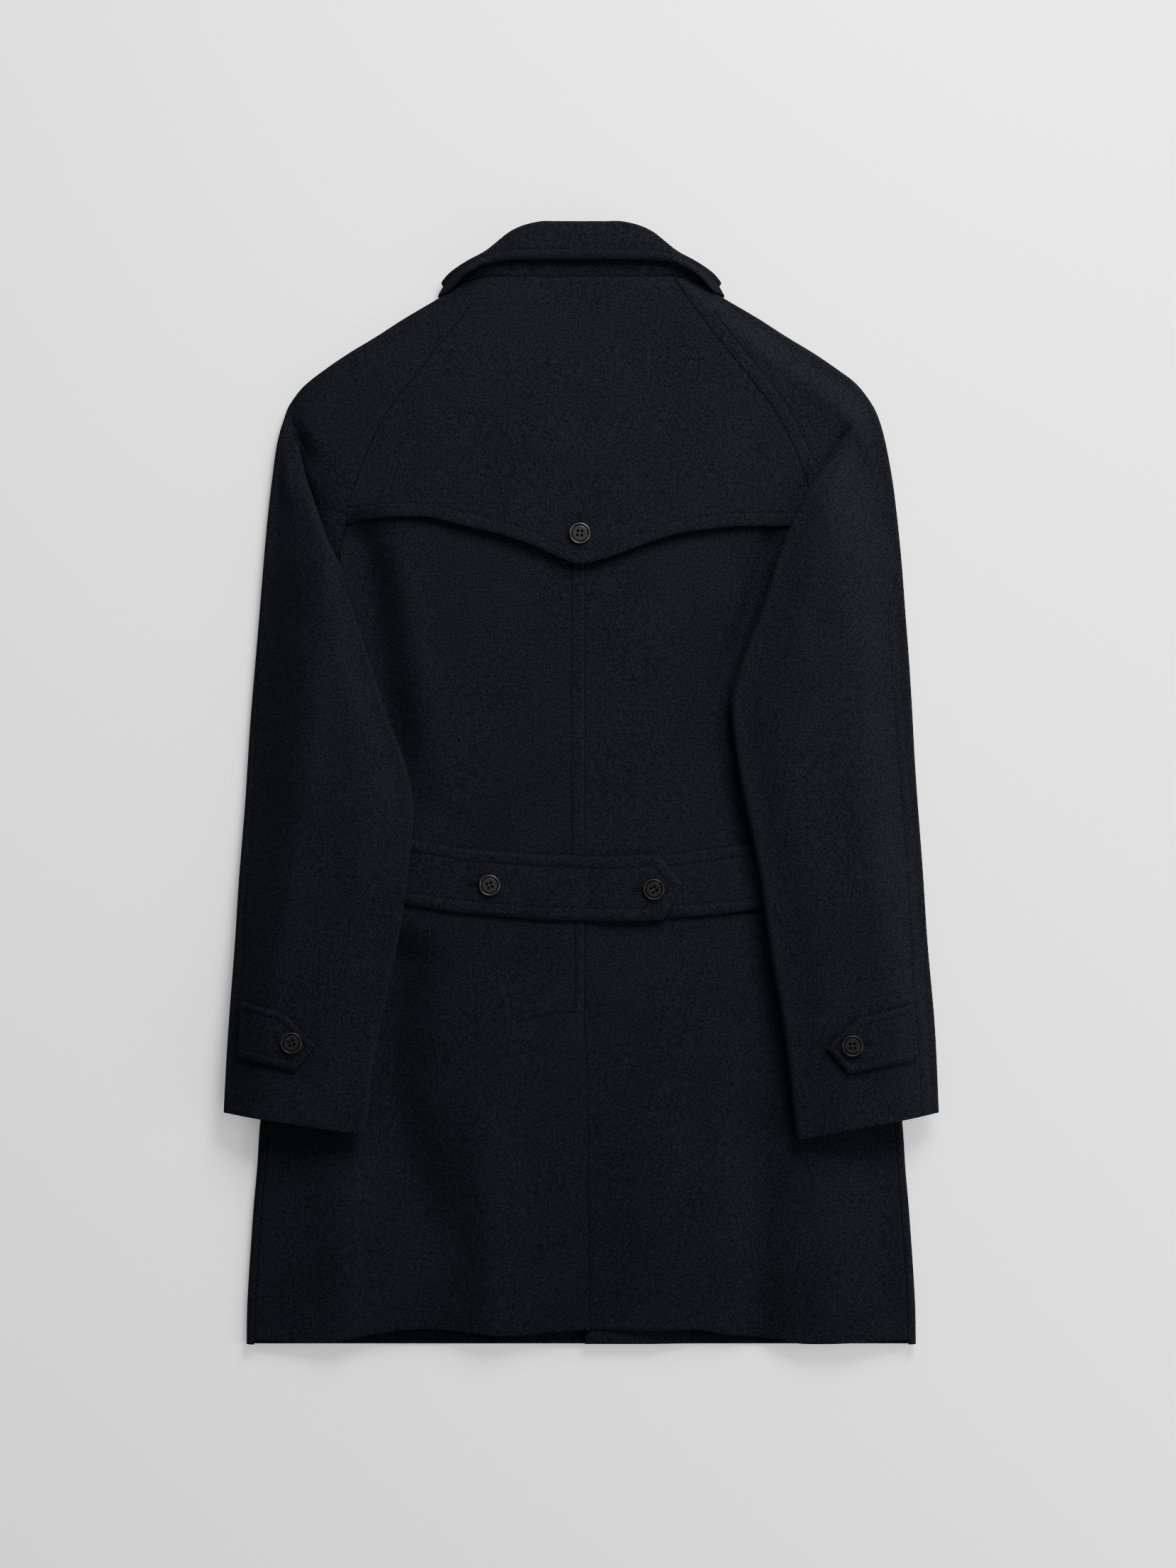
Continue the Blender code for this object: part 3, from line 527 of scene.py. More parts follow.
def along(table, at):
    """Second column of a table at a value of the first, along a smooth curve."""
    last = len(table) - 1
    place = 0
    while place < last - 1 and at > table[place + 1][0]:
        place += 1
    x0, y0 = table[place]
    x1, y1 = table[place + 1]
    before = table[max(0, place - 1)]
    after = table[min(last, place + 2)]
    t = clamp((at - x0) / (x1 - x0))
    slope0 = (y1 - before[1]) / (x1 - before[0]) * (x1 - x0)
    slope1 = (after[1] - y0) / (after[0] - x0) * (x1 - x0)
    t2 = t * t
    t3 = t2 * t
    return ((2 * t3 - 3 * t2 + 1) * y0 + (t3 - 2 * t2 + t) * slope0
            + (3 * t2 - 2 * t3) * y1 + (t3 - t2) * slope1)


def refined(values, step):
    """The values with equal steps put in between, none longer than the step."""
    result = [values[0]]
    for first, second in zip(values, values[1:]):
        count = max(1, math.ceil(abs(second - first) / step))
        result += [between(first, second, part / count) for part in range(1, count + 1)]
    return result


def curves(run, rows):
    """One table for each column of some rows, against the distance run at each row."""
    return [list(zip(run, column)) for column in zip(*rows)]


def spread(first, second, count):
    """Rows of values in equal steps, from after a first row up to a second one."""
    return [[between(a, b, part / count) for a, b in zip(first, second)] for part in range(1, count + 1)]


def spaced(length, close, close_count, count):
    """Distances from 0 to a length: a number of close steps at first, then wider ones."""
    near = [close * part / close_count for part in range(close_count)]
    return near + [between(close, length, part / count) for part in range(count + 1)]


def nearest(path, x, y):
    """Distance to a path, the share of its length there, and the distance signed by its side."""
    place = Vector((x, y))
    best = None
    run = 0.0
    for first, second in zip(path, path[1:]):
        start = Vector(first)
        step = Vector(second) - start
        length = step.length
        share = clamp((place - start).dot(step) / (length * length))
        distance = (place - start - step * share).length
        if best is None or distance < best[0]:
            side = 1 if step.cross(place - start) > 0 else -1
            best = (distance, run + share * length, distance * side)
        run += length
    return best[0], best[1] / run, best[2]


def crease(table, x, y):
    """Height that the creases of a table add at a place."""
    start, end = CREASE_ENDS
    total = 0.0
    for height, right, left, path in table:
        distance, share, signed = nearest(path, x, y)
        half_width = right if signed > 0 else left
        if distance < CREASE_REACH * half_width:
            total += height * bell(distance, half_width) * smooth(share / start) * smooth((1 - share) / end)
    return total


def fold(side, x, y):
    """Height that a sleeve's fold adds: a lip on its outer side over a trough on its inner side."""
    distance, share, signed = nearest(SLEEVE_FOLDS[side], x, y)
    if distance > FOLD_REACH:
        return 0.0
    faded = FOLD_FADE * smooth((share - FOLD_FADE_FROM) / FOLD_FADE_RUN)
    depth = smooth(share / FOLD_START) * (1 - faded)
    over = side * signed
    lip = smooth((over + FOLD_LIP) / (2 * FOLD_LIP))
    ridge = FOLD_RIDGE * math.exp(-max(over, 0.0) / RIDGE_WIDTH)
    trough = FOLD_TROUGH[side] * math.exp(min(over, 0.0) / TROUGH_WIDTH)
    return depth * (lip * ridge - (1 - lip) * trough)


def underarm(side, x, y):
    """How far a place on a sleeve belongs to the cloth that runs in under its fold to the raglan seam."""
    distance, share, signed = nearest(SLEEVE_FOLDS[side], x, y)
    if distance > UNDERARM_SPAN:
        return 0.0
    past = 1 - smooth(distance / UNDERARM_END) if share == 1 else 1.0
    return smooth((FOLD_LIP - side * signed) / (2 * FOLD_LIP)) * smooth(share / UNDERARM_START) * past


def ripple(x, y, seed):
    """Slow unevenness of cloth that was laid down by hand."""
    return sum(height * noise.noise(Vector((x / across, y / down, seed + shift)))
               for across, down, height, shift in RIPPLES)


def flutes(x, y):
    """Height that the skirt's soft folds add to the back."""
    share = smooth((FLUTE_TOP - y) / FLUTE_LENGTH)
    if share == 0.0:
        return 0.0
    total = 0.0
    for top_x, hem_x, height, half_width in FLUTES:
        centre = between(top_x, hem_x, clamp((FLUTE_TOP - y) / FLUTE_RUN))
        total += height * bell(x - centre, half_width)
    return total * share


def back_height(x, y):
    """Middle of the back's cloth above the floor, with its broad folds."""
    inward = along(BACK_SPREAD, y) - abs(x) - SIDE_SEAM
    rise = smooth(inward / BACK_RISE)
    uneven = flutes(x, y) + ripple(x, y, 0.0) + crease(BACK_CREASES, x, y)
    return EDGE_TOP + (along(CROWN, y) - EDGE_TOP + uneven) * rise


def seam_relief(across, stitch, dip, sunk=0.6):
    """Dip at a seam, the allowance pressed to one side and the sunk line that holds it."""
    allowance = ALLOWANCE_RISE * smooth((across + 1) / 2) * smooth((stitch + 2 - across) / RIM_SLOPE)
    return allowance - dip * bell(across, SUNK_WIDTH) - sunk * bell(across - stitch, SUNK_WIDTH)


def edge_relief(distance, stitch, puff=0.5):
    """Turned edge of a double layer, the puffed rim and the sunk line that holds it."""
    rim = puff * smooth(distance / RIM_SLOPE) * smooth((stitch - distance) / RIM_SLOPE)
    turned = EDGE_DROP * puff * bell(distance, EDGE_TURN)
    return rim - turned - EDGE_SUNK * bell(distance - stitch, SUNK_WIDTH)


def back_relief(x, y):
    """Seams of the back, in millimetres above its broad form."""
    if y > VENT_TOP:
        return seam_relief(CENTRE_SEAM - x, CENTRE_SEAM - along(CENTRE_STITCH, y), CENTRE_DIP)
    first, last = VENT_STITCH
    if not last[0] < x < first[0]:
        return 0.0
    slant = between(first[1], last[1], (x - first[0]) / (last[0] - first[0]))
    return -VENT_SUNK * bell(y - slant, VENT_SUNK_WIDTH)


def collar_room(x, y):
    """Height that the front is raised by the collar's points under it."""
    over = smooth((y - COLLAR_ROOM_FROM) / COLLAR_ROOM_RISE)
    return COLLAR_ROOM * over * smooth((COLLAR_ROOM_SIDE - abs(x)) / COLLAR_ROOM_FALL)


def body_limit(y):
    """Half width of the body, at its side or its raglan seam."""
    return along(BODY_SIDE, y) if y < UNDERARM else along(RAGLAN, y)


def back_edge(y):
    """Half width of the back panel's cloth."""
    above = y - UNDERARM - UNDERARM_TURN
    if y <= UNDERARM + UNDERARM_TURN:
        return along(BODY_SIDE, min(y, UNDERARM)) - SIDE_SEAM - SEAM / 2
    under = UNDERARM_REACH * smooth(above / REACH_RISE) * smooth((REACH_TOP - y) / REACH_FADE)
    return along(RAGLAN, y) - SEAM / 2 + under


def on_body(x, y):
    """Height of what a sleeve lies on: the body, then down to the floor outside it."""
    return ON_BODY * (1 - smooth((abs(x) - body_limit(y)) / FALL_OFF))


def raised(height, x, y, gap):
    """Height of a sheet that lies on another, measured square to its slope."""
    step = 1.0
    slope_x = (height(x + step, y) - height(x - step, y)) / (2 * step)
    slope_y = (height(x, y + step) - height(x, y - step)) / (2 * step)
    return height(x, y) + (CLOTH + gap) * math.sqrt(1 + slope_x ** 2 + slope_y ** 2)


def bent(length, radius, angle, steps):
    """Points (along, up) of a strip that bends through an angle and then runs on straight."""
    points = []
    arc = radius * angle
    for step in range(steps + 1):
        travelled = length * step / steps
        turned = min(travelled, arc)
        theta = turned / radius
        rest = travelled - turned
        points.append((radius * math.sin(theta) + rest * math.cos(theta),
                       radius * (1 - math.cos(theta)) + rest * math.sin(theta)))
    return points


def front_height(side, across, y):
    """Middle of a front's cloth. The right front lies over the left one at the closing."""
    down = clamp((across - STEP_FROM) / (STEP_TO - STEP_FROM))
    step = RIGHT_FRONT_STEP * (1 - smooth(down)) if side > 0 else 0.0
    return CLOTH / 2 + step + collar_room(across, y)


def front_grid(side):
    """Front panel from its closing edge to the side seam, where it turns up round the edge."""
    columns = 34
    bend_columns = 12
    closing = -LEFT_FRONT_EDGE if side < 0 else RIGHT_FRONT_EDGE
    grid = []
    for y in refined(FRONT_ROWS, FRONT_STEP):
        turn = math.pi * (1 - smooth((y - UNDERARM) / UNDERARM_UNROLL))
        strip = turn * EDGE_BEND + 2 * SEAM_LEAD - SEAM / 2
        limit = along(BODY_SIDE, y) - CLOTH / 2 if y <= UNDERARM else along(RAGLAN, y) - SEAM / 2
        if UNDERARM < y < UNDERARM_TUCK:
            limit -= CLOTH / 2
        inner = closing if y < NECK_FRONT else along(FRONT_NECK, y)
        profile = bent(min(strip, 0.5 * (limit - inner)), EDGE_BEND, max(turn, SMALL_ANGLE), bend_columns)
        start = limit - max(point[0] for point in profile)
        row = []
        for column in range(columns):
            across = between(inner, start, column / columns)
            row.append((side * across, y, front_height(side, across, y)))
        level = front_height(side, start, y)
        row += [(side * (start + out), y, level + up) for out, up in profile]
        grid.append(row)
    return grid


def facing_grid(side):
    """Facing inside the closing edge of a front."""
    edges = FACING_LEFT if side < 0 else FACING_RIGHT
    grid = []
    for y in refined((FACING_HEM, FACING_TOP), FACING_STEP):
        row = []
        for across in refined(edges, FACING_CROSS_STEP):
            row.append((side * across, y, front_height(side, across, y) + LAYER + FACING_GAP))
        grid.append(row)
    return grid


def hem_drawn(x, y):
    """Y of a place on the back, with its lowest part drawn to the uneven hem."""
    return y + (along(HEM_LINE, x) - BACK_HEM) * (1 - smooth((y - BACK_HEM) / HEM_REACH))


def back_grid(side):
    """Back panel from the centre seam to the side and raglan seams. The left one laps the vent."""
    step = settings().cloth_step / MM
    columns = round(BACK_WIDTH / step)
    levels = refined(BACK_ROWS_LOW, step)
    levels += refined(BACK_ROWS_VENT, VENT_STEP)[1:]
    levels += refined(BACK_ROWS_HIGH, step)[1:]
    grid = []
    for y in levels:
        lap = along(VENT_EDGE, y)
        centre = lap
        dip = 0.0
        if side > 0:
            opened = clamp((VENT_TOP - y) / (VENT_TOP - VENT_OPEN))
            centre = between(CENTRE_SEAM + SEAM / 2, CENTRE_SEAM - VENT_UNDERLAP, opened)
            dip = VENT_DIP * smooth((VENT_TOP + VENT_LEAD - y) / (VENT_LEAD + VENT_SETTLE))
        fade = between(*VENT_FADE, smooth((VENT_TOP - y) / VENT_FADE_RUN))
        reach = back_edge(y) - side * centre
        row = []
        for across in spaced(reach, *CENTRE_FINE, columns):
            x = centre + side * across
            lowered = dip * (1 - smooth((x - lap - VENT_GAP) / fade))
            row.append((x, hem_drawn(x, y), back_height(x, y) + back_relief(x, y) - lowered))
        grid.append(row)
    return grid


def flap_lower(x):
    """Y of the flap's lower edge."""
    return along(FLAP_EDGE, x)


def flap_height(x, y):
    """Middle of the flap, lifted off the back towards its loose edge."""
    lower = flap_lower(x)
    up = clamp((y - lower) / (NECK_BACK - lower))
    loose = (1 - up) ** 2 * (1 - min(1.0, abs(x) / FLAP_LOOSE) ** 3)
    rim = edge_relief(y - lower, FLAP_STITCH, FLAP_PUFF)
    return raised(back_height, x, y, STRIP_GAP) + FLAP_LIFT * loose + rim


def flap_grid():
    """Loose flap over the shoulders, caught in the neck seam and tucked under the raglan seams."""
    step = settings().cloth_step / MM
    across = round(FLAP_WIDTH / step)
    places = [(-1.0, -out, down) for out, down in FLAP_TUCK]
    places += [(2 * column / across - 1, 0.0, 0.0) for column in range(across + 1)]
    places += [(1.0, out, down) for out, down in reversed(FLAP_TUCK)]
    lines = []
    for share, out, down in places:
        lower = flap_lower(share * FLAP_HALF)
        line = []
        for up in spaced(NECK_BACK - lower, FLAP_STITCH + FLAP_RIM, FLAP_FINE, round(FLAP_DEPTH / step)):
            y = lower + up
            x = share * (along(RAGLAN, y) - SEAM / 2)
            line.append((x + out, y, flap_height(x, y) - down))
        lines.append(line)
    return [list(row) for row in zip(*lines)]


class SleeveRow:
    """One row across a sleeve: where it lies and how its two sheets stand."""

    def __init__(self, side, tables, at):
        values = [along(table, at) for table in tables]
        self.side = side
        self.inner = Vector(values[0:2])
        outer = Vector(values[2:4])
        self.length = (outer - self.inner).length
        self.direction = (outer - self.inner) / self.length
        self.lift = clamp(values[4])
        self.loft = values[5]
        self.roll = clamp(values[6])
        self.under = max(0.0, values[7])
        self.bend = min(SLEEVE_BEND, self.loft / 2)
        self.overarm = min(along(OVERARM[side], outer.y), OVERARM_SHARE * self.length)
        self.turn = self.length - CLOTH / 2 - self.bend
        flat = min(math.pi * SLEEVE_BEND + SEAM_LEAD, FLAT_SHARE * self.length)
        self.near = between(flat, CLOTH / 2 + self.bend, self.roll)
        self.strip = between(flat, math.pi * self.bend + SEAM_LEAD, self.roll)
        self.square = self.seam_square()
        self.level = raised(back_height, self.inner.x * side, self.inner.y, STRIP_GAP)

    def place(self, distance):
        """Plan place at a distance from the inner edge."""
        point = self.inner + self.direction * distance
        return self.side * point.x, point.y

    def lower(self, distance):
        """Middle of the lower sheet."""
        x, y = self.place(distance)
        return CLOTH / 2 + self.lift * on_body(x, y) + (1 - self.lift) * collar_room(x, y)

    def upper(self, distance):
        """Middle of the upper sheet."""
        low = self.lower(distance)
        edge = low + 2 * self.bend
        rise = between(CAP_RISE, SLEEVE_RISE, self.roll)
        outward = smooth((self.turn - distance) / min(rise, RISE_SHARE * self.length))
        inward = smooth((distance - CLOTH / 2 - self.bend) / SLEEVE_RISE)
        tube = edge + (self.loft - 2 * self.bend) * outward * inward
        cap = edge + (max(self.level, edge) - edge) * outward
        top = between(cap, tube, self.roll)
        x, y = self.place(distance)
        inside = underarm(self.side, x, y)
        if inside:
            top = between(top, max(UNDERARM_LEVEL, raised(back_height, x, y, STRIP_GAP)), inside)
        return top + self.relief(distance)

    def relief(self, distance):
        """Folds, seam and stitched line on top of a sleeve."""
        x, y = self.place(distance)
        from_edge = self.length - distance
        settled = smooth((from_edge - SETTLED_FROM) / SETTLED_RUN)
        folds = crease(SLEEVE_CREASES[self.side], x, y) + fold(self.side, x, y)
        uneven = SLEEVE_RIPPLE * ripple(x, y, 3.0 * self.side)
        if self.side > 0:
            seam = seam_relief(self.overarm - from_edge, OVERARM_STITCH, OVERARM_DIP[1])
        else:
            seam = -OVERARM_DIP[-1] * bell(self.overarm - from_edge, OVERARM_WIDTH)
        sewn = (1 - self.roll) * smooth((self.inner.y - RAGLAN_FROM) / RAGLAN_RUN)
        raglan = sewn * seam_relief(distance * self.square, RAGLAN_STITCH, RAGLAN_DIP[self.side],
                                    RAGLAN_SUNK[self.side])
        return (folds + uneven) * settled + seam + raglan

    def seam_square(self):
        """How squarely a cap row leaves the raglan seam."""
        step = 4
        ahead = along(RAGLAN, self.inner.y + step) - along(RAGLAN, self.inner.y - step)
        return abs(self.direction.cross(Vector((ahead, 2 * step)).normalized()))

    def section(self, inward):
        """Point on top of a sleeve, a distance inward of where its outer edge starts to turn."""
        if inward >= 0:
            distance = self.turn - inward
            return (*self.place(distance), self.upper(distance))
        theta = -inward / self.bend
        low = self.lower(self.turn)
        half = (self.upper(self.turn) - low) / 2
        return (*self.place(self.turn + self.bend * math.sin(theta)), low + half * (1 + math.cos(theta)))

    def on_top(self, distance):
        """Point for a stitch on the upper sheet."""
        return (*self.place(distance), self.upper(distance) + CLOTH / 2 + STITCH_LIFT)


def sleeve_rows(side):
    """Rows of a sleeve at equal steps from neck to cuff."""
    rows = []
    for values in SLEEVES[side]:
        values = list(values)
        if not values[6]:
            values[0] = along(RAGLAN, values[1]) + RAGLAN_GAP
        rows.append(values)
    lengths = []
    for first, second in zip(rows, rows[1:]):
        step_x = (second[0] + second[2] - first[0] - first[2]) / 2
        step_y = (second[1] + second[3] - first[1] - first[3]) / 2
        lengths.append(math.hypot(step_x, step_y))
    run = list(accumulate(lengths, initial=0.0))
    places = refined((run[0], FOLD_RUN), FOLD_STEP) + refined((FOLD_RUN, run[-1]), SLEEVE_STEP)[1:]
    return [SleeveRow(side, curves(run, rows), at) for at in places]


SLEEVE_ROWS = {}


def sleeve_height(side, x, y):
    """Upper middle height of a sleeve at a place on it."""
    rows = SLEEVE_ROWS[side]
    place = Vector((abs(x), y))

    def passed(row):
        return row.direction.cross(place - row.inner)

    first = 0
    last = len(rows) - 1
    while last - first > 1:
        middle = (first + last) // 2
        if passed(rows[middle]) < 0:
            first = middle
        else:
            last = middle
    ends = []
    for row in (rows[first], rows[last]):
        ends.append((passed(row), row.upper((place - row.inner).dot(row.direction))))
    span = ends[1][0] - ends[0][0]
    share = clamp(-ends[0][0] / span) if span else 0.0
    return between(ends[0][1], ends[1][1], share)


def sleeve_back_grid(side):
    """Upper sheet of a sleeve, from the overarm seam across and round its inner edge."""
    columns = 46
    bend_columns = 14
    fine_width = 12.0
    fine_columns = 10
    grid = []
    for row in SLEEVE_ROWS[side]:
        first = row.overarm - CLOTH / 2 - row.bend + SEAM
        reach = row.turn - row.near - first
        inward = spaced(reach, min(fine_width, 0.4 * reach), fine_columns, columns)[:-1]
        points = [row.section(first + distance) for distance in inward]
        top = row.upper(row.near)
        angle = max(SMALL_ANGLE, math.pi * row.roll)
        for step, (out, up) in enumerate(bent(row.strip, row.bend, angle, bend_columns)):
            flat = row.near * step / bend_columns
            level = row.upper(row.near - flat)
            height = between(level, top - up, row.roll)
            points.append((*row.place(row.near - between(flat, out, row.roll)), height))
        grid.append(points)
    return grid


def sleeve_front_grid(side):
    """Lower sheet of a sleeve, from the overarm seam round its outer edge and back under."""
    columns = 18
    grid = []
    for row in SLEEVE_ROWS[side]:
        first = row.overarm - CLOTH / 2 - row.bend
        last = -math.pi * row.bend
        points = [row.section(between(first, last, column / columns)) for column in range(columns + 1)]
        rolled = CLOTH / 2 + row.bend + SEAM_LEAD + 1.0
        near = row.under + rolled * row.roll
        for column in range(1, columns + 1):
            distance = between(row.turn, near, column / columns)
            points.append((*row.place(distance), row.lower(distance)))
        grid.append(points)
    return grid


def strip_grid(rows, height, step, cross):
    """Grid of a strip from rows of top and bottom corners, with the height of its middle."""
    finer = [rows[0]]
    for first, second in zip(rows, rows[1:]):
        finer += spread(first, second, max(1, round(abs(second[0] - first[0]) / step)))
    grid = []
    for top_x, top_y, low_x, low_y in finer:
        row = []
        for part in range(cross + 1):
            x = between(top_x, low_x, part / cross)
            y = between(top_y, low_y, part / cross)
            row.append((x, y, height(x, y)))
        grid.append(row)
    return grid


def strip_edges(rows, caught):
    """Free edges of a strip: one path round its tip, or two where both ends are caught."""
    top = [row[0:2] for row in rows]
    low = [row[2:4] for row in rows]
    return [top, low] if caught else [top + low[::-1]]


def strip_relief(edges, stitch, x, y):
    """Relief of a strip, by the distance to its nearest free edge."""
    return edge_relief(min(nearest(path, x, y)[0] for path in edges), stitch)


BELT_LEFT_EDGES = strip_edges(BELT_LEFT, False)
BELT_RIGHT_EDGES = strip_edges(BELT_RIGHT, True)


def belt_level(x, y):
    """Middle of a belt strip that lies on the back."""
    return raised(back_height, x, y, STRIP_GAP) + (STRIP_CLOTH - CLOTH) / 2


def belt_right_height(x, y):
    """Middle of the right belt strip."""
    return belt_level(x, y) + strip_relief(BELT_RIGHT_EDGES, BELT_STITCH, x, y)


def belt_left_height(x, y):
    """Middle of the left belt strip, which laps the right one."""
    start, end = BELT_LAP
    lapped = (STRIP_CLOTH + SEAM) * smooth((x - start) / (end - start))
    return belt_level(x, y) + lapped + strip_relief(BELT_LEFT_EDGES, BELT_STITCH, x, y)


def strap_height(side):
    """Function for the middle of a cuff's strap."""
    edges = strip_edges(STRAPS[side], False)

    def sleeve(x, y):
        return sleeve_height(side, x, y)

    def height(x, y):
        level = raised(sleeve, x, y, STRIP_GAP) + (STRIP_CLOTH - CLOTH) / 2
        return level + strip_relief(edges, STRAP_STITCH, x, y)
    return height


def collar_rows():
    """Rows of the collar from one front point round the neck to the other, along a smooth curve."""
    order = [(-1, row) for row in reversed(COLLAR[1:])] + [(1, row) for row in COLLAR]
    signed = []
    for side, values in order:
        signed.append([side * value if column in COLLAR_SIDED else value
                       for column, value in enumerate(values)])
    lengths = []
    for first, second in zip(signed, signed[1:]):
        lengths.append((Vector(second[6:9]) - Vector(first[6:9])).length + 1.0)
    run = list(accumulate(lengths, initial=0.0))
    tables = curves(run, signed)
    return [[along(table, at) for table in tables] for at in refined(run, COLLAR_STEP)]


def collar_grids():
    """Stand from the neck seam to near the roll, and fall from there over to the loose edge."""
    stand = []
    fall = []
    for values in collar_rows():
        neck = Vector(values[0:3])
        roll = Vector(values[3:6])
        loose = Vector((values[6], values[7], max(values[8], COLLAR_REST)))
        radius = values[9]
        side = 1 if values[10] >= 0 else -1
        turn = math.radians(min(180.0, abs(values[10])))
        showing = max(0.0, math.cos(turn))
        direction = (roll - neck).normalized()
        outward = Vector((side * abs(direction.y), -abs(direction.x), 0)).normalized()
        towards = Vector((0, 0, 1)) * math.cos(turn) + outward * math.sin(turn)
        towards = (towards - direction * towards.dot(direction)).normalized()
        end = roll - direction * (radius + COLLAR_LEAD)
        tuck = neck - direction * COLLAR_TUCK - Vector((0, 0, COLLAR_TUCK_DOWN))
        rising = [tuple(neck.lerp(end, step / STAND_STEPS)) for step in range(STAND_STEPS + 1)]
        stand.append([tuple(tuck)] + rising)
        centre = roll - direction * radius + towards * radius
        row = [tuple(end + direction * SEAM)]
        for step in range(ROLL_STEPS + 1):
            theta = math.pi * step / ROLL_STEPS
            row.append(tuple(centre + (direction * math.sin(theta) - towards * math.cos(theta)) * radius))
        start = centre + towards * radius
        width = (loose - start).length
        for step in range(1, FALL_STEPS + 1):
            share = step / FALL_STEPS
            rim = edge_relief((1 - share) * width, COLLAR_STITCH)
            belly = COLLAR_BELLY * math.sin(math.pi * share)
            row.append(tuple(start.lerp(loose, share) + towards * (belly + rim) * showing))
        fall.append(row)
    return stand, fall


# Materials


def set_inputs(tree, node, inputs):
    """Give a node's inputs numbers, or links from other sockets."""
    for name, value in inputs.items():
        if isinstance(value, bpy.types.NodeSocket):
            tree.links.new(value, node.inputs[name])
        else:
            node.inputs[name].default_value = value


def add_node(tree, kind, inputs=None, **values):
    """A node with its settings and its inputs."""
    node = tree.nodes.new(kind)
    for name, value in values.items():
        setattr(node, name, value)
    set_inputs(tree, node, inputs or {})
    return node


def new_material(name):
    """Material with its node tree, its shader and the object's own coordinates."""
    made = bpy.data.materials.new(name)
    made.use_nodes = True
    tree = made.node_tree
    place = add_node(tree, "ShaderNodeTexCoord").outputs["Object"]
    return made, tree, tree.nodes["Principled BSDF"], place


def speckle(tree, place, scale, inputs=None):
    """Noise of a scale."""
    more = inputs or {}
    return add_node(tree, "ShaderNodeTexNoise", {"Vector": place, "Scale": scale, **more}).outputs["Fac"]


def blend(tree, share, first, second):
    """Mix of two colours."""
    return add_node(tree, "ShaderNodeMix", {"Factor": share, "A": first, "B": second},
                    data_type='RGBA').outputs["Result"]


def added(tree, value, part, base):
    """A part of one value, added to another."""
    return add_node(tree, "ShaderNodeMath", {0: value, 1: part, 2: base},
                    operation='MULTIPLY_ADD').outputs[0]


def ranged(tree, value, low, high):
    """Value from 0 to 1 as another goes from low to high."""
    return add_node(tree, "ShaderNodeMapRange",
                    {"Value": value, "From Min": low, "From Max": high}).outputs["Result"]


def wool(name, grain):
    """Milled wool twill: matt and dark, speckled by its raised fibres, with faint diagonal ribs."""
    choice = settings()
    made, tree, shader, place = new_material(name)
    turned = add_node(tree, "ShaderNodeMapping",
                      {"Vector": place, "Rotation": (0.0, 0.0, math.radians(grain))}).outputs["Vector"]
    # The real ribs are about 1.5 mm apart and are drawn a little coarser so that they show.
    # A wave texture's band repeats every pi / 10 of its scaled coordinate.
    ribs = add_node(tree, "ShaderNodeTexWave",
                    {"Vector": turned, "Scale": math.pi / 10 / choice.twill_pitch, "Distortion": 1.6,
                     "Detail": 2.0, "Detail Scale": 1.5, "Detail Roughness": 0.6},
                    wave_type='BANDS', bands_direction='X').outputs["Fac"]
    nap = speckle(tree, place, 1 / (TUFT * MM), {"Detail": 2.0, "Roughness": 0.6})
    cloud = speckle(tree, place, 1 / (DRIFT * MM), {"Detail": 2.0, "Roughness": 0.5})
    fibre = added(tree, ribs, 0.25, nap)
    level = ranged(tree, added(tree, cloud, 0.12, fibre), 0.5, 0.84)
    tinted = blend(tree, cloud, choice.wool_fibre, choice.wool_cool)
    bump = add_node(tree, "ShaderNodeBump", {"Height": fibre, "Strength": 0.6, "Distance": 0.4 * MM})
    set_inputs(tree, shader, {
        "Base Color": blend(tree, level, choice.wool, tinted), "Normal": bump.outputs["Normal"],
        "Roughness": 0.95, "Specular IOR Level": 0.03, "Sheen Weight": 0.012, "Sheen Roughness": 0.4,
        "Sheen Tint": linear("#b4b8c2")})
    return made


def horn(name, share, gloss):
    """Buffalo horn: near black with a few brown streaks, polished on the rim and duller in the middle."""
    made, tree, shader, place = new_material(name)
    # Painted light: the share darkens the horn's colour for buttons that are lit less
    base = [part * share for part in settings().horn[:3]] + [1.0]
    streak = speckle(tree, place, 1 / (STREAK * MM), {"Detail": 4.0, "Distortion": 1.5})
    colour = blend(tree, ranged(tree, streak, 0.6, 0.8), base, settings().horn_streak)
    set_inputs(tree, shader, {"Base Color": colour, "Roughness": 0.3, "Specular IOR Level": gloss})
    return made


def sewing_thread(name):
    """Twisted polyester thread: dark, with a small sheen along each stitch; also used for the dark cords
    that paint the shade in seams.
    """
    made, tree, shader, place = new_material(name)
    twist = speckle(tree, place, 1 / (TWIST * MM))
    colour = blend(tree, twist, settings().thread, settings().wool)
    set_inputs(tree, shader, {"Base Color": colour, "Roughness": 0.85, "Specular IOR Level": 0.05})
    return made


def studio_floor(name):
    """Matt painted board: pale, with a barely uneven tone."""
    made, tree, shader, place = new_material(name)
    tone = speckle(tree, place, 1.5, {"Detail": 1.0})
    colour = blend(tree, tone, settings().floor, linear("#f1f1f1"))
    set_inputs(tree, shader, {"Base Color": colour, "Roughness": 0.9})
    return made


def finish_named(make, name, *details):
    """Material of a name, made when it is first asked for."""
    return bpy.data.materials.get(name) or make(name, *details)


# Pieces


def twill(kind):
    """Wool for a group of panels, with its own direction of the ribs."""
    return finish_named(wool, "wool_twill_" + kind, GRAIN[kind])


def linked(name, data):
    """New object of some data, in the scene."""
    made = bpy.data.objects.new(name, data)
    bpy.context.scene.collection.objects.link(made)
    return made


def mesh_of(bm, name):
    """Mesh of a finished bmesh."""
    mesh = bpy.data.meshes.new(name)
    bm.to_mesh(mesh)
    bm.free()
    return mesh


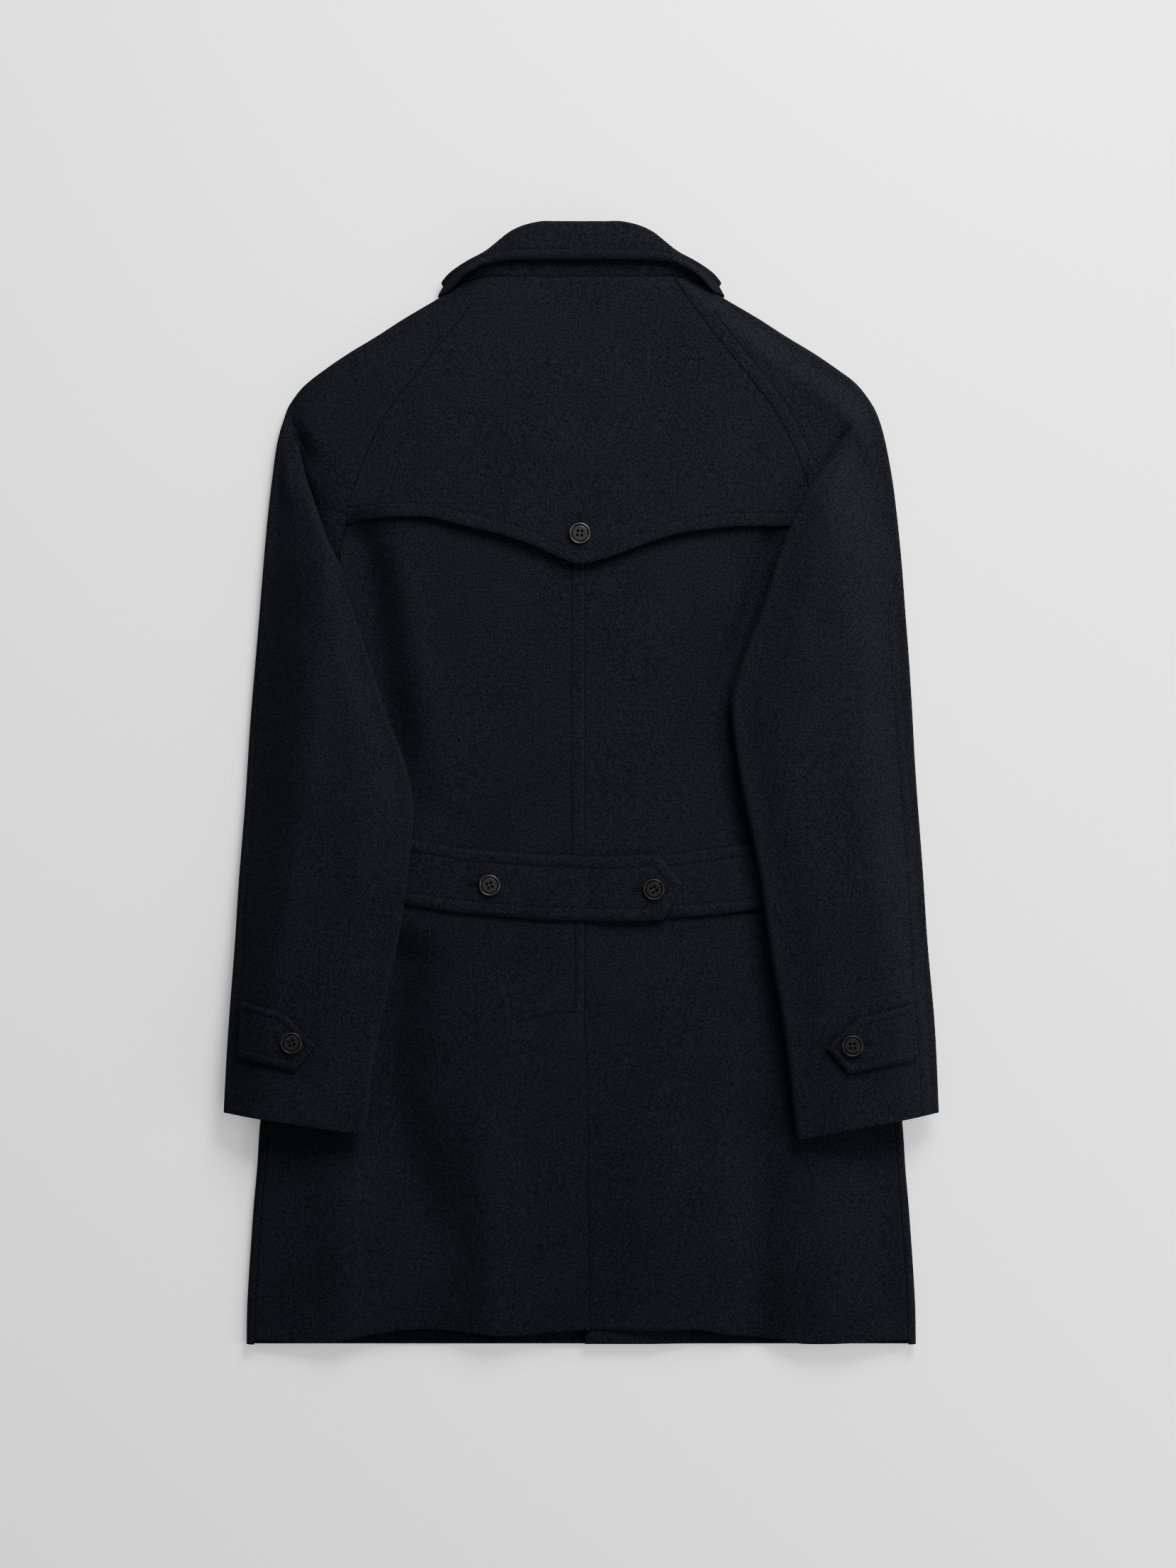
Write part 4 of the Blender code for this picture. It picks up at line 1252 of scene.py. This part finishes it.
def piece_from(bm, name, material):
    """Object of a finished bmesh in millimetres, riding on the coat's one body."""
    bmesh.ops.scale(bm, vec=(MM, MM, MM), verts=bm.verts)
    for face in bm.faces:
        face.smooth = True
    mesh = mesh_of(bm, name)
    mesh.materials.append(material)
    piece = linked(name, mesh)
    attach(piece, "root")
    return piece


def polyline_length(points):
    """Length along some points."""
    return sum((Vector(b) - Vector(a)).length for a, b in zip(points, points[1:]))


def grid_area(grid):
    """Area of the surface through a grid of points."""
    total = 0.0
    for first, second in zip(grid, grid[1:]):
        rows = [Vector(point) for point in first], [Vector(point) for point in second]
        for a, b, c, d in zip(rows[0], rows[0][1:], rows[1], rows[1][1:]):
            total += 0.5 * (d - a).cross(c - b).length
    return total


def cloth(node, grid, material, even=True, thickness=CLOTH):
    """Sheet of cloth about a grid of points, standing for its node."""
    rows = len(grid)
    columns = len(grid[0])
    bm = bmesh.new()
    bmesh.ops.create_grid(bm, x_segments=rows - 1, y_segments=columns - 1, size=1.0)
    for vert in bm.verts:
        row = round((vert.co.x + 1) / 2 * (rows - 1))
        column = round((vert.co.y + 1) / 2 * (columns - 1))
        vert.co = grid[row][column]
    piece = piece_from(bm, node + "_cloth", material)
    sheet = piece.modifiers.new("cloth", 'SOLIDIFY')
    sheet.thickness = thickness * MM
    sheet.offset = 0.0
    sheet.use_even_offset = even
    edges = piece.modifiers.new("edges", 'BEVEL')
    edges.width = ROUNDED_SHARE * thickness * MM
    edges.segments = 2
    edges.limit_method = 'ANGLE'
    edges.angle_limit = math.radians(60)
    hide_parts(node)
    width = max(polyline_length(row) for row in grid) * MM
    length = max(polyline_length(column) for column in zip(*grid)) * MM
    grid_area(grid) * MM * MM


def sew(bm, path, pitch=None, length=None, width=None):
    """Row of stitches along a path of points on a surface."""
    choice = settings()
    pitch = pitch or choice.stitch_pitch / MM
    length = length or pitch * STITCH_SHARE
    width = width or choice.stitch_width / MM
    points = [Vector(point) for point in path]
    run = list(accumulate(((b - a).length for a, b in zip(points, points[1:])), initial=0.0))
    count = int(run[-1] / pitch)
    place = 0
    for stitch in range(count):
        at = (stitch + 0.5) * run[-1] / count
        while place < len(run) - 2 and run[place + 1] < at:
            place += 1
        share = (at - run[place]) / max(1e-6, run[place + 1] - run[place])
        centre = points[place].lerp(points[place + 1], share)
        forward = (points[place + 1] - points[place]).normalized()
        left = Vector((0, 0, 1)).cross(forward).normalized()
        up = forward.cross(left)
        turn = Matrix((forward, left, up)).transposed().to_4x4()
        size = Matrix.Diagonal((length / 2, width / 2, width * STITCH_HEIGHT, 1.0))
        bmesh.ops.create_uvsphere(bm, u_segments=6, v_segments=4, radius=1.0,
                                  matrix=Matrix.Translation(centre) @ turn @ size)


def lifted(path, height, thickness=CLOTH):
    """Points of a plan path, on top of the cloth whose middle height is given."""
    return [(x, y, height(x, y) + thickness / 2 + STITCH_LIFT) for x, y in path]


def stitched(name, bm):
    """Piece of the stitches in a bmesh."""
    piece_from(bm, name, finish_named(sewing_thread, "sewing_thread"))


def inset_path(path, inset):
    """Plan path moved to its right by a distance, with its corners kept sharp."""
    points = [Vector(point) for point in path]
    runs = [(second - first).normalized() for first, second in zip(points, points[1:])]
    sides = [Vector((run.y, -run.x)) for run in runs]
    result = [points[0] + sides[0] * inset]
    for place in range(1, len(points) - 1):
        middle = (sides[place - 1] + sides[place]).normalized()
        result.append(points[place] + middle * inset / max(0.3, middle.dot(sides[place])))
    result.append(points[-1] + sides[-1] * inset)
    return [tuple(point) for point in result]


def dense(path, step):
    """Plan path with points no further apart than a step."""
    result = [path[0]]
    for first, second in zip(path, path[1:]):
        length = math.hypot(second[0] - first[0], second[1] - first[1])
        result += spread(first, second, max(1, math.ceil(length / step)))
    return result


def buttonhole(bm, hole, height, thickness):
    """Worked buttonhole: close cross stitches either side of a slit."""
    x, y, turn, length = hole
    ahead = Vector((math.cos(math.radians(turn)), math.sin(math.radians(turn))))
    aside = Vector((-ahead.y, ahead.x))
    count = round(length / HOLE_PITCH)
    for step in range(count + 1):
        for side in (-1, 1):
            middle = Vector((x, y)) + ahead * (step / count - 0.5) * length + aside * side * HOLE_PITCH
            ends = [tuple(middle - aside), tuple(middle + aside)]
            sew(bm, lifted(ends, height, thickness), **HOLE_STITCH)


class COAT_OT_body(bpy.types.Operator):
    """Build the fronts, facings and the two halves of the back"""

    bl_idname = "coat.body"
    bl_label = "Body"

    def execute(self, context):
        material = twill("body")
        for side in (-1, 1):
            name = SIDE_NAME[side]
            cloth("front_" + name, front_grid(side), material)
            cloth("facing_" + name, facing_grid(side), material)
            cloth("back_" + name, back_grid(side), material)
        bm = bmesh.new()
        seam = [(along(CENTRE_STITCH, y), y) for y in refined((CENTRE_STITCH_TOP, VENT_TOP), LINE_STEP)]

        def surface(x, y):
            return back_height(x, y) + back_relief(x, y)
        sew(bm, lifted(seam, surface))
        sew(bm, lifted(dense(VENT_STITCH, LINE_STEP), surface))
        # Painted shadow: a dark cord along the vent's lapping edge, standing for the shade under the edge
        edge = []
        for y in refined((VENT_TOP, BACK_HEM), LINE_STEP):
            x = along(VENT_EDGE, y) + VENT_SHADE_CORD
            edge.append((x, hem_drawn(x, y), back_height(x, y) + CLOTH / 2 - SHADE_CORD_DEPTH))
        sew(bm, edge, **SEAM_SHADE_CORD)
        stitched("back_stitching", bm)
        return {'FINISHED'}


class COAT_OT_flap(bpy.types.Operator):
    """Build the loose flap over the shoulders with its stitched edge"""

    bl_idname = "coat.flap"
    bl_label = "Flap"

    def execute(self, context):
        cloth("back_flap", flap_grid(), twill("body"))
        bm = bmesh.new()
        line = [(x, flap_lower(x) + FLAP_STITCH) for x in refined(FLAP_STITCH_ENDS, LINE_STEP)]
        sew(bm, lifted(line, flap_height))
        buttonhole(bm, FLAP_HOLE, flap_height, CLOTH)
        stitched("flap_stitching", bm)
        return {'FINISHED'}


class COAT_OT_collar(bpy.types.Operator):
    """Build the collar's stand and turned-down fall"""

    bl_idname = "coat.collar"
    bl_label = "Collar"

    def execute(self, context):
        material = twill("trim")
        stand, fall = collar_grids()
        cloth("collar_stand", stand, material, even=False)
        cloth("collar_fall", fall, material, even=False, thickness=COLLAR_CLOTH)
        bm = bmesh.new()
        line = []
        for row in fall:
            loose = Vector(row[-1])
            start = Vector(row[ROLL_STEPS + 1])
            point = loose.lerp(start, clamp(COLLAR_STITCH / max((loose - start).length, 1.0)))
            if point.z > COLLAR_STITCH_LOW:
                line.append(tuple(point + Vector((0, 0, COLLAR_CLOTH / 2 + 2 * STITCH_LIFT))))
        sew(bm, line)
        stitched("collar_stitching", bm)
        return {'FINISHED'}


class COAT_OT_sleeves(bpy.types.Operator):
    """Build the two raglan sleeves, each of an upper and a lower sheet"""

    bl_idname = "coat.sleeves"
    bl_label = "Sleeves"

    def execute(self, context):
        for side, name in SIDE_NAME.items():
            SLEEVE_ROWS[side] = sleeve_rows(side)
            material = twill(name)
            cloth("sleeve_" + name + "_back", sleeve_back_grid(side), material,
                  even=False)
            cloth("sleeve_" + name + "_front", sleeve_front_grid(side), material,
                  even=False)
            self.stitches(side, name)
        return {'FINISHED'}

    def stitches(self, side, name):
        """Dark cord laid in the raglan seam as painted shade of its crease, and the stitched lines that
        show on the right sleeve.
        """
        bm = bmesh.new()
        raglan = []
        overarm = []
        seam = []
        for row in SLEEVE_ROWS[side]:
            flat = row.roll < FLAT_ROLL
            # Painted shade: points of the dark cord laid in the raglan seam's gap
            if flat and row.inner.y > RAGLAN_LOW[side]:
                seam.append((*row.place(-RAGLAN_GAP / 2), row.level + CLOTH / 2 - SHADE_CORD_DEPTH))
            if side > 0 and flat and row.inner.y > RAGLAN_STITCH_LOW:
                raglan.append(row.on_top(RAGLAN_STITCH / row.square))
            if side > 0 and row.overarm > OVERARM_STITCH + OVERARM_ROOM:
                overarm.append(row.on_top(row.length - row.overarm + OVERARM_STITCH))
        sew(bm, seam, **SEAM_SHADE_CORD)
        for line in (raglan, overarm):
            if line:
                sew(bm, line)
        # On the left sleeve this piece holds only the dark cord that paints the raglan seam's shade
        stitched("sleeve_" + name + "_stitching", bm)


class COAT_OT_belt(bpy.types.Operator):
    """Build the half belt of two lapped strips"""

    bl_idname = "coat.belt"
    bl_label = "Half belt"

    def execute(self, context):
        material = twill("trim")
        cloth("half_belt_right", strip_grid(BELT_RIGHT, belt_right_height, *BELT_STEPS), material,
              thickness=STRIP_CLOTH)
        cloth("half_belt_left", strip_grid(BELT_LEFT, belt_left_height, *BELT_STEPS), material,
              thickness=STRIP_CLOTH)
        bm = bmesh.new()
        line = dense(inset_path(BELT_LEFT_EDGES[0], BELT_STITCH), STRIP_LINE_STEP)
        sew(bm, lifted(line, belt_left_height, STRIP_CLOTH))
        for edge in (BELT_RIGHT_EDGES[0][2:], BELT_RIGHT_EDGES[1][:1:-1]):
            line = dense(inset_path(edge, BELT_STITCH), STRIP_LINE_STEP)
            sew(bm, lifted(line, belt_right_height, STRIP_CLOTH))
        for hole in BELT_HOLES:
            buttonhole(bm, hole, belt_left_height, STRIP_CLOTH)
        stitched("belt_stitching", bm)
        return {'FINISHED'}


class COAT_OT_straps(bpy.types.Operator):
    """Build the straps on the cuffs"""

    bl_idname = "coat.straps"
    bl_label = "Cuff straps"

    def execute(self, context):
        for side, name in SIDE_NAME.items():
            height = strap_height(side)
            cloth("cuff_strap_" + name, strip_grid(STRAPS[side], height, *STRAP_STEPS), twill("trim"),
                  thickness=STRIP_CLOTH)
            bm = bmesh.new()
            edge = strip_edges(STRAPS[side], False)[0]
            line = dense(inset_path(edge if side < 0 else edge[::-1], STRAP_STITCH), STRIP_LINE_STEP)
            sew(bm, lifted(line, height, STRIP_CLOTH))
            if side > 0:
                buttonhole(bm, STRAP_HOLE, height, STRIP_CLOTH)
            stitched("strap_" + name + "_stitching", bm)
        return {'FINISHED'}


class COAT_OT_buttons(bpy.types.Operator):
    """Build the horn buttons, each with four holes over dark thread"""

    bl_idname = "coat.buttons"
    bl_label = "Buttons"

    def execute(self, context):
        lies_on = {
            "flap": (flap_height, CLOTH),
            "belt": (belt_left_height, STRIP_CLOTH),
            "strap_left": (strap_height(-1), STRIP_CLOTH),
            "strap_right": (strap_height(1), STRIP_CLOTH),
        }
        for node, x, y, turn, under, tone in BUTTONS:
            height, thickness = lies_on[under]
            place = Vector((x, y, self.floor(x, y, height) + thickness / 2 + 2 * STITCH_LIFT))
            self.made(context, node, place, math.radians(turn), tone)
        return {'FINISHED'}

    def floor(self, x, y, height):
        """Middle of the cloth under a button, at its highest place."""
        spots = [(0.0, 0.0)]
        for ring in (3.2, 6.5):
            for step in range(12):
                angle = step * math.pi / 6
                spots.append((ring * math.cos(angle), ring * math.sin(angle)))
        return max(height(x + right, y + up) for right, up in spots)

    def turned(self, profile, place):
        """Shape that a profile makes round an upright axis."""
        bm = bmesh.new()
        verts = [bm.verts.new((radius, 0, up)) for radius, up in profile]
        edges = [bm.edges.new(pair) for pair in zip(verts, verts[1:])]
        bmesh.ops.spin(bm, geom=verts + edges, axis=(0, 0, 1), cent=(0, 0, 0), angle=2 * math.pi,
                       steps=64, use_merge=True)
        bmesh.ops.remove_doubles(bm, verts=bm.verts, dist=0.0005)
        bmesh.ops.recalc_face_normals(bm, faces=bm.faces)
        bmesh.ops.translate(bm, vec=place, verts=bm.verts)
        return bm

    def made(self, context, node, place, turn, tone):
        """Rim, drilled middle and thread of one button."""
        # Lit and shaded copies of the horn, one for each button's painted light
        share, rim_gloss, middle_gloss = HORN_PAINTED_LIGHT[tone]
        polished = finish_named(horn, "horn_" + tone + "_rim", share, rim_gloss)
        satin = finish_named(horn, "horn_" + tone + "_middle", share, middle_gloss)
        rim = piece_from(self.turned(BUTTON_RIM, place), node + "_rim", polished)
        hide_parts(node)
        piece = piece_from(self.turned(BUTTON_MIDDLE, place), node + "_middle", satin)
        drill = bmesh.new()
        thread = bmesh.new()
        for step in range(4):
            angle = turn + step * math.pi / 2
            spot = place + Vector((math.cos(angle), math.sin(angle), 0)) * HOLE_OFFSET
            bmesh.ops.create_cone(drill, cap_ends=True, segments=20, radius1=HOLE_RADIUS,
                                  radius2=HOLE_RADIUS, depth=12.0, matrix=Matrix.Translation(spot))
            bmesh.ops.create_uvsphere(thread, u_segments=8, v_segments=5, radius=THREAD_RADIUS,
                                      matrix=Matrix.Translation(spot + Vector((0, 0, THREAD_RISE))))
        self.drilled(context, piece, drill)
        stitched(node + "_thread", thread)

    def drilled(self, context, piece, drill):
        """Cut holes through a button."""
        bmesh.ops.scale(drill, vec=(MM, MM, MM), verts=drill.verts)
        cutter = linked("drill", mesh_of(drill, "drill"))
        holes = piece.modifiers.new("holes", 'BOOLEAN')
        holes.operation = 'DIFFERENCE'
        holes.solver = 'EXACT'
        holes.object = cutter
        cut = bpy.data.meshes.new_from_object(piece.evaluated_get(context.evaluated_depsgraph_get()))
        cut.set_sharp_from_angle(angle=math.radians(40))
        piece.modifiers.remove(holes)
        piece.data = cut
        bpy.data.objects.remove(cutter)


class COAT_OT_stage(bpy.types.Operator):
    """Lay the pale floor and set the lights and the camera"""

    bl_idname = "coat.stage"
    bl_label = "Stage"

    def execute(self, context):
        bm = bmesh.new()
        bmesh.ops.create_grid(bm, x_segments=1, y_segments=1, size=FLOOR_HALF)
        mesh = mesh_of(bm, "floor")
        mesh.materials.append(studio_floor("studio_floor"))
        ground = linked("floor", mesh)
        ground.location = (0.0, 0.0, FLOOR_LEVEL)
        for light in LIGHTS:
            self.light(*light)
        world = bpy.data.worlds.new("studio")
        world.use_nodes = True
        set_inputs(world.node_tree, world.node_tree.nodes["Background"],
                   {"Color": (1.0, 1.0, 1.0, 1.0), "Strength": settings().sky})
        context.scene.world = world
        camera = bpy.data.cameras.new("camera")
        camera.lens = LENS
        camera.sensor_width = SENSOR
        view = linked("camera", camera)
        view.location = CAMERA_PLACE
        context.scene.camera = view
        return {'FINISHED'}

    def light(self, name, place, aim, size, power):
        """Area light that faces a point, with the power of a setting."""
        lamp = bpy.data.lights.new(name, 'AREA')
        lamp.size = size
        lamp.energy = getattr(settings(), power)
        holder = linked(name, lamp)
        holder.location = place
        holder.rotation_euler = (Vector(aim) - Vector(place)).to_track_quat('-Z', 'Y').to_euler()


class COAT_PT_panel(bpy.types.Panel):
    """Steps that build the coat, with its sizes and colours"""

    bl_idname = "COAT_PT_panel"
    bl_label = "Coat"
    bl_space_type = 'VIEW_3D'
    bl_region_type = 'UI'
    bl_category = "Coat"

    def draw(self, context):
        for step in STEPS:
            self.layout.operator(step.bl_idname)
        for name in CoatSettings.__annotations__:
            self.layout.prop(context.scene.coat, name)


STEPS = (
    COAT_OT_body, COAT_OT_flap, COAT_OT_collar, COAT_OT_sleeves, COAT_OT_belt, COAT_OT_straps,
    COAT_OT_buttons, COAT_OT_stage,
)


def register():
    for made in (CoatSettings, *STEPS, COAT_PT_panel):
        bpy.utils.register_class(made)
    bpy.types.Scene.coat = bpy.props.PointerProperty(type=CoatSettings)


def unregister():
    del bpy.types.Scene.coat
    for made in (COAT_PT_panel, *reversed(STEPS), CoatSettings):
        bpy.utils.unregister_class(made)


def main():
    """Build the coat and its stage."""
    register()
    bpy.ops.coat.body()
    bpy.ops.coat.flap()
    bpy.ops.coat.collar()
    bpy.ops.coat.sleeves()
    bpy.ops.coat.belt()
    bpy.ops.coat.straps()
    bpy.ops.coat.buttons()
    bpy.ops.coat.stage()


if __name__ == "__main__":
    main()
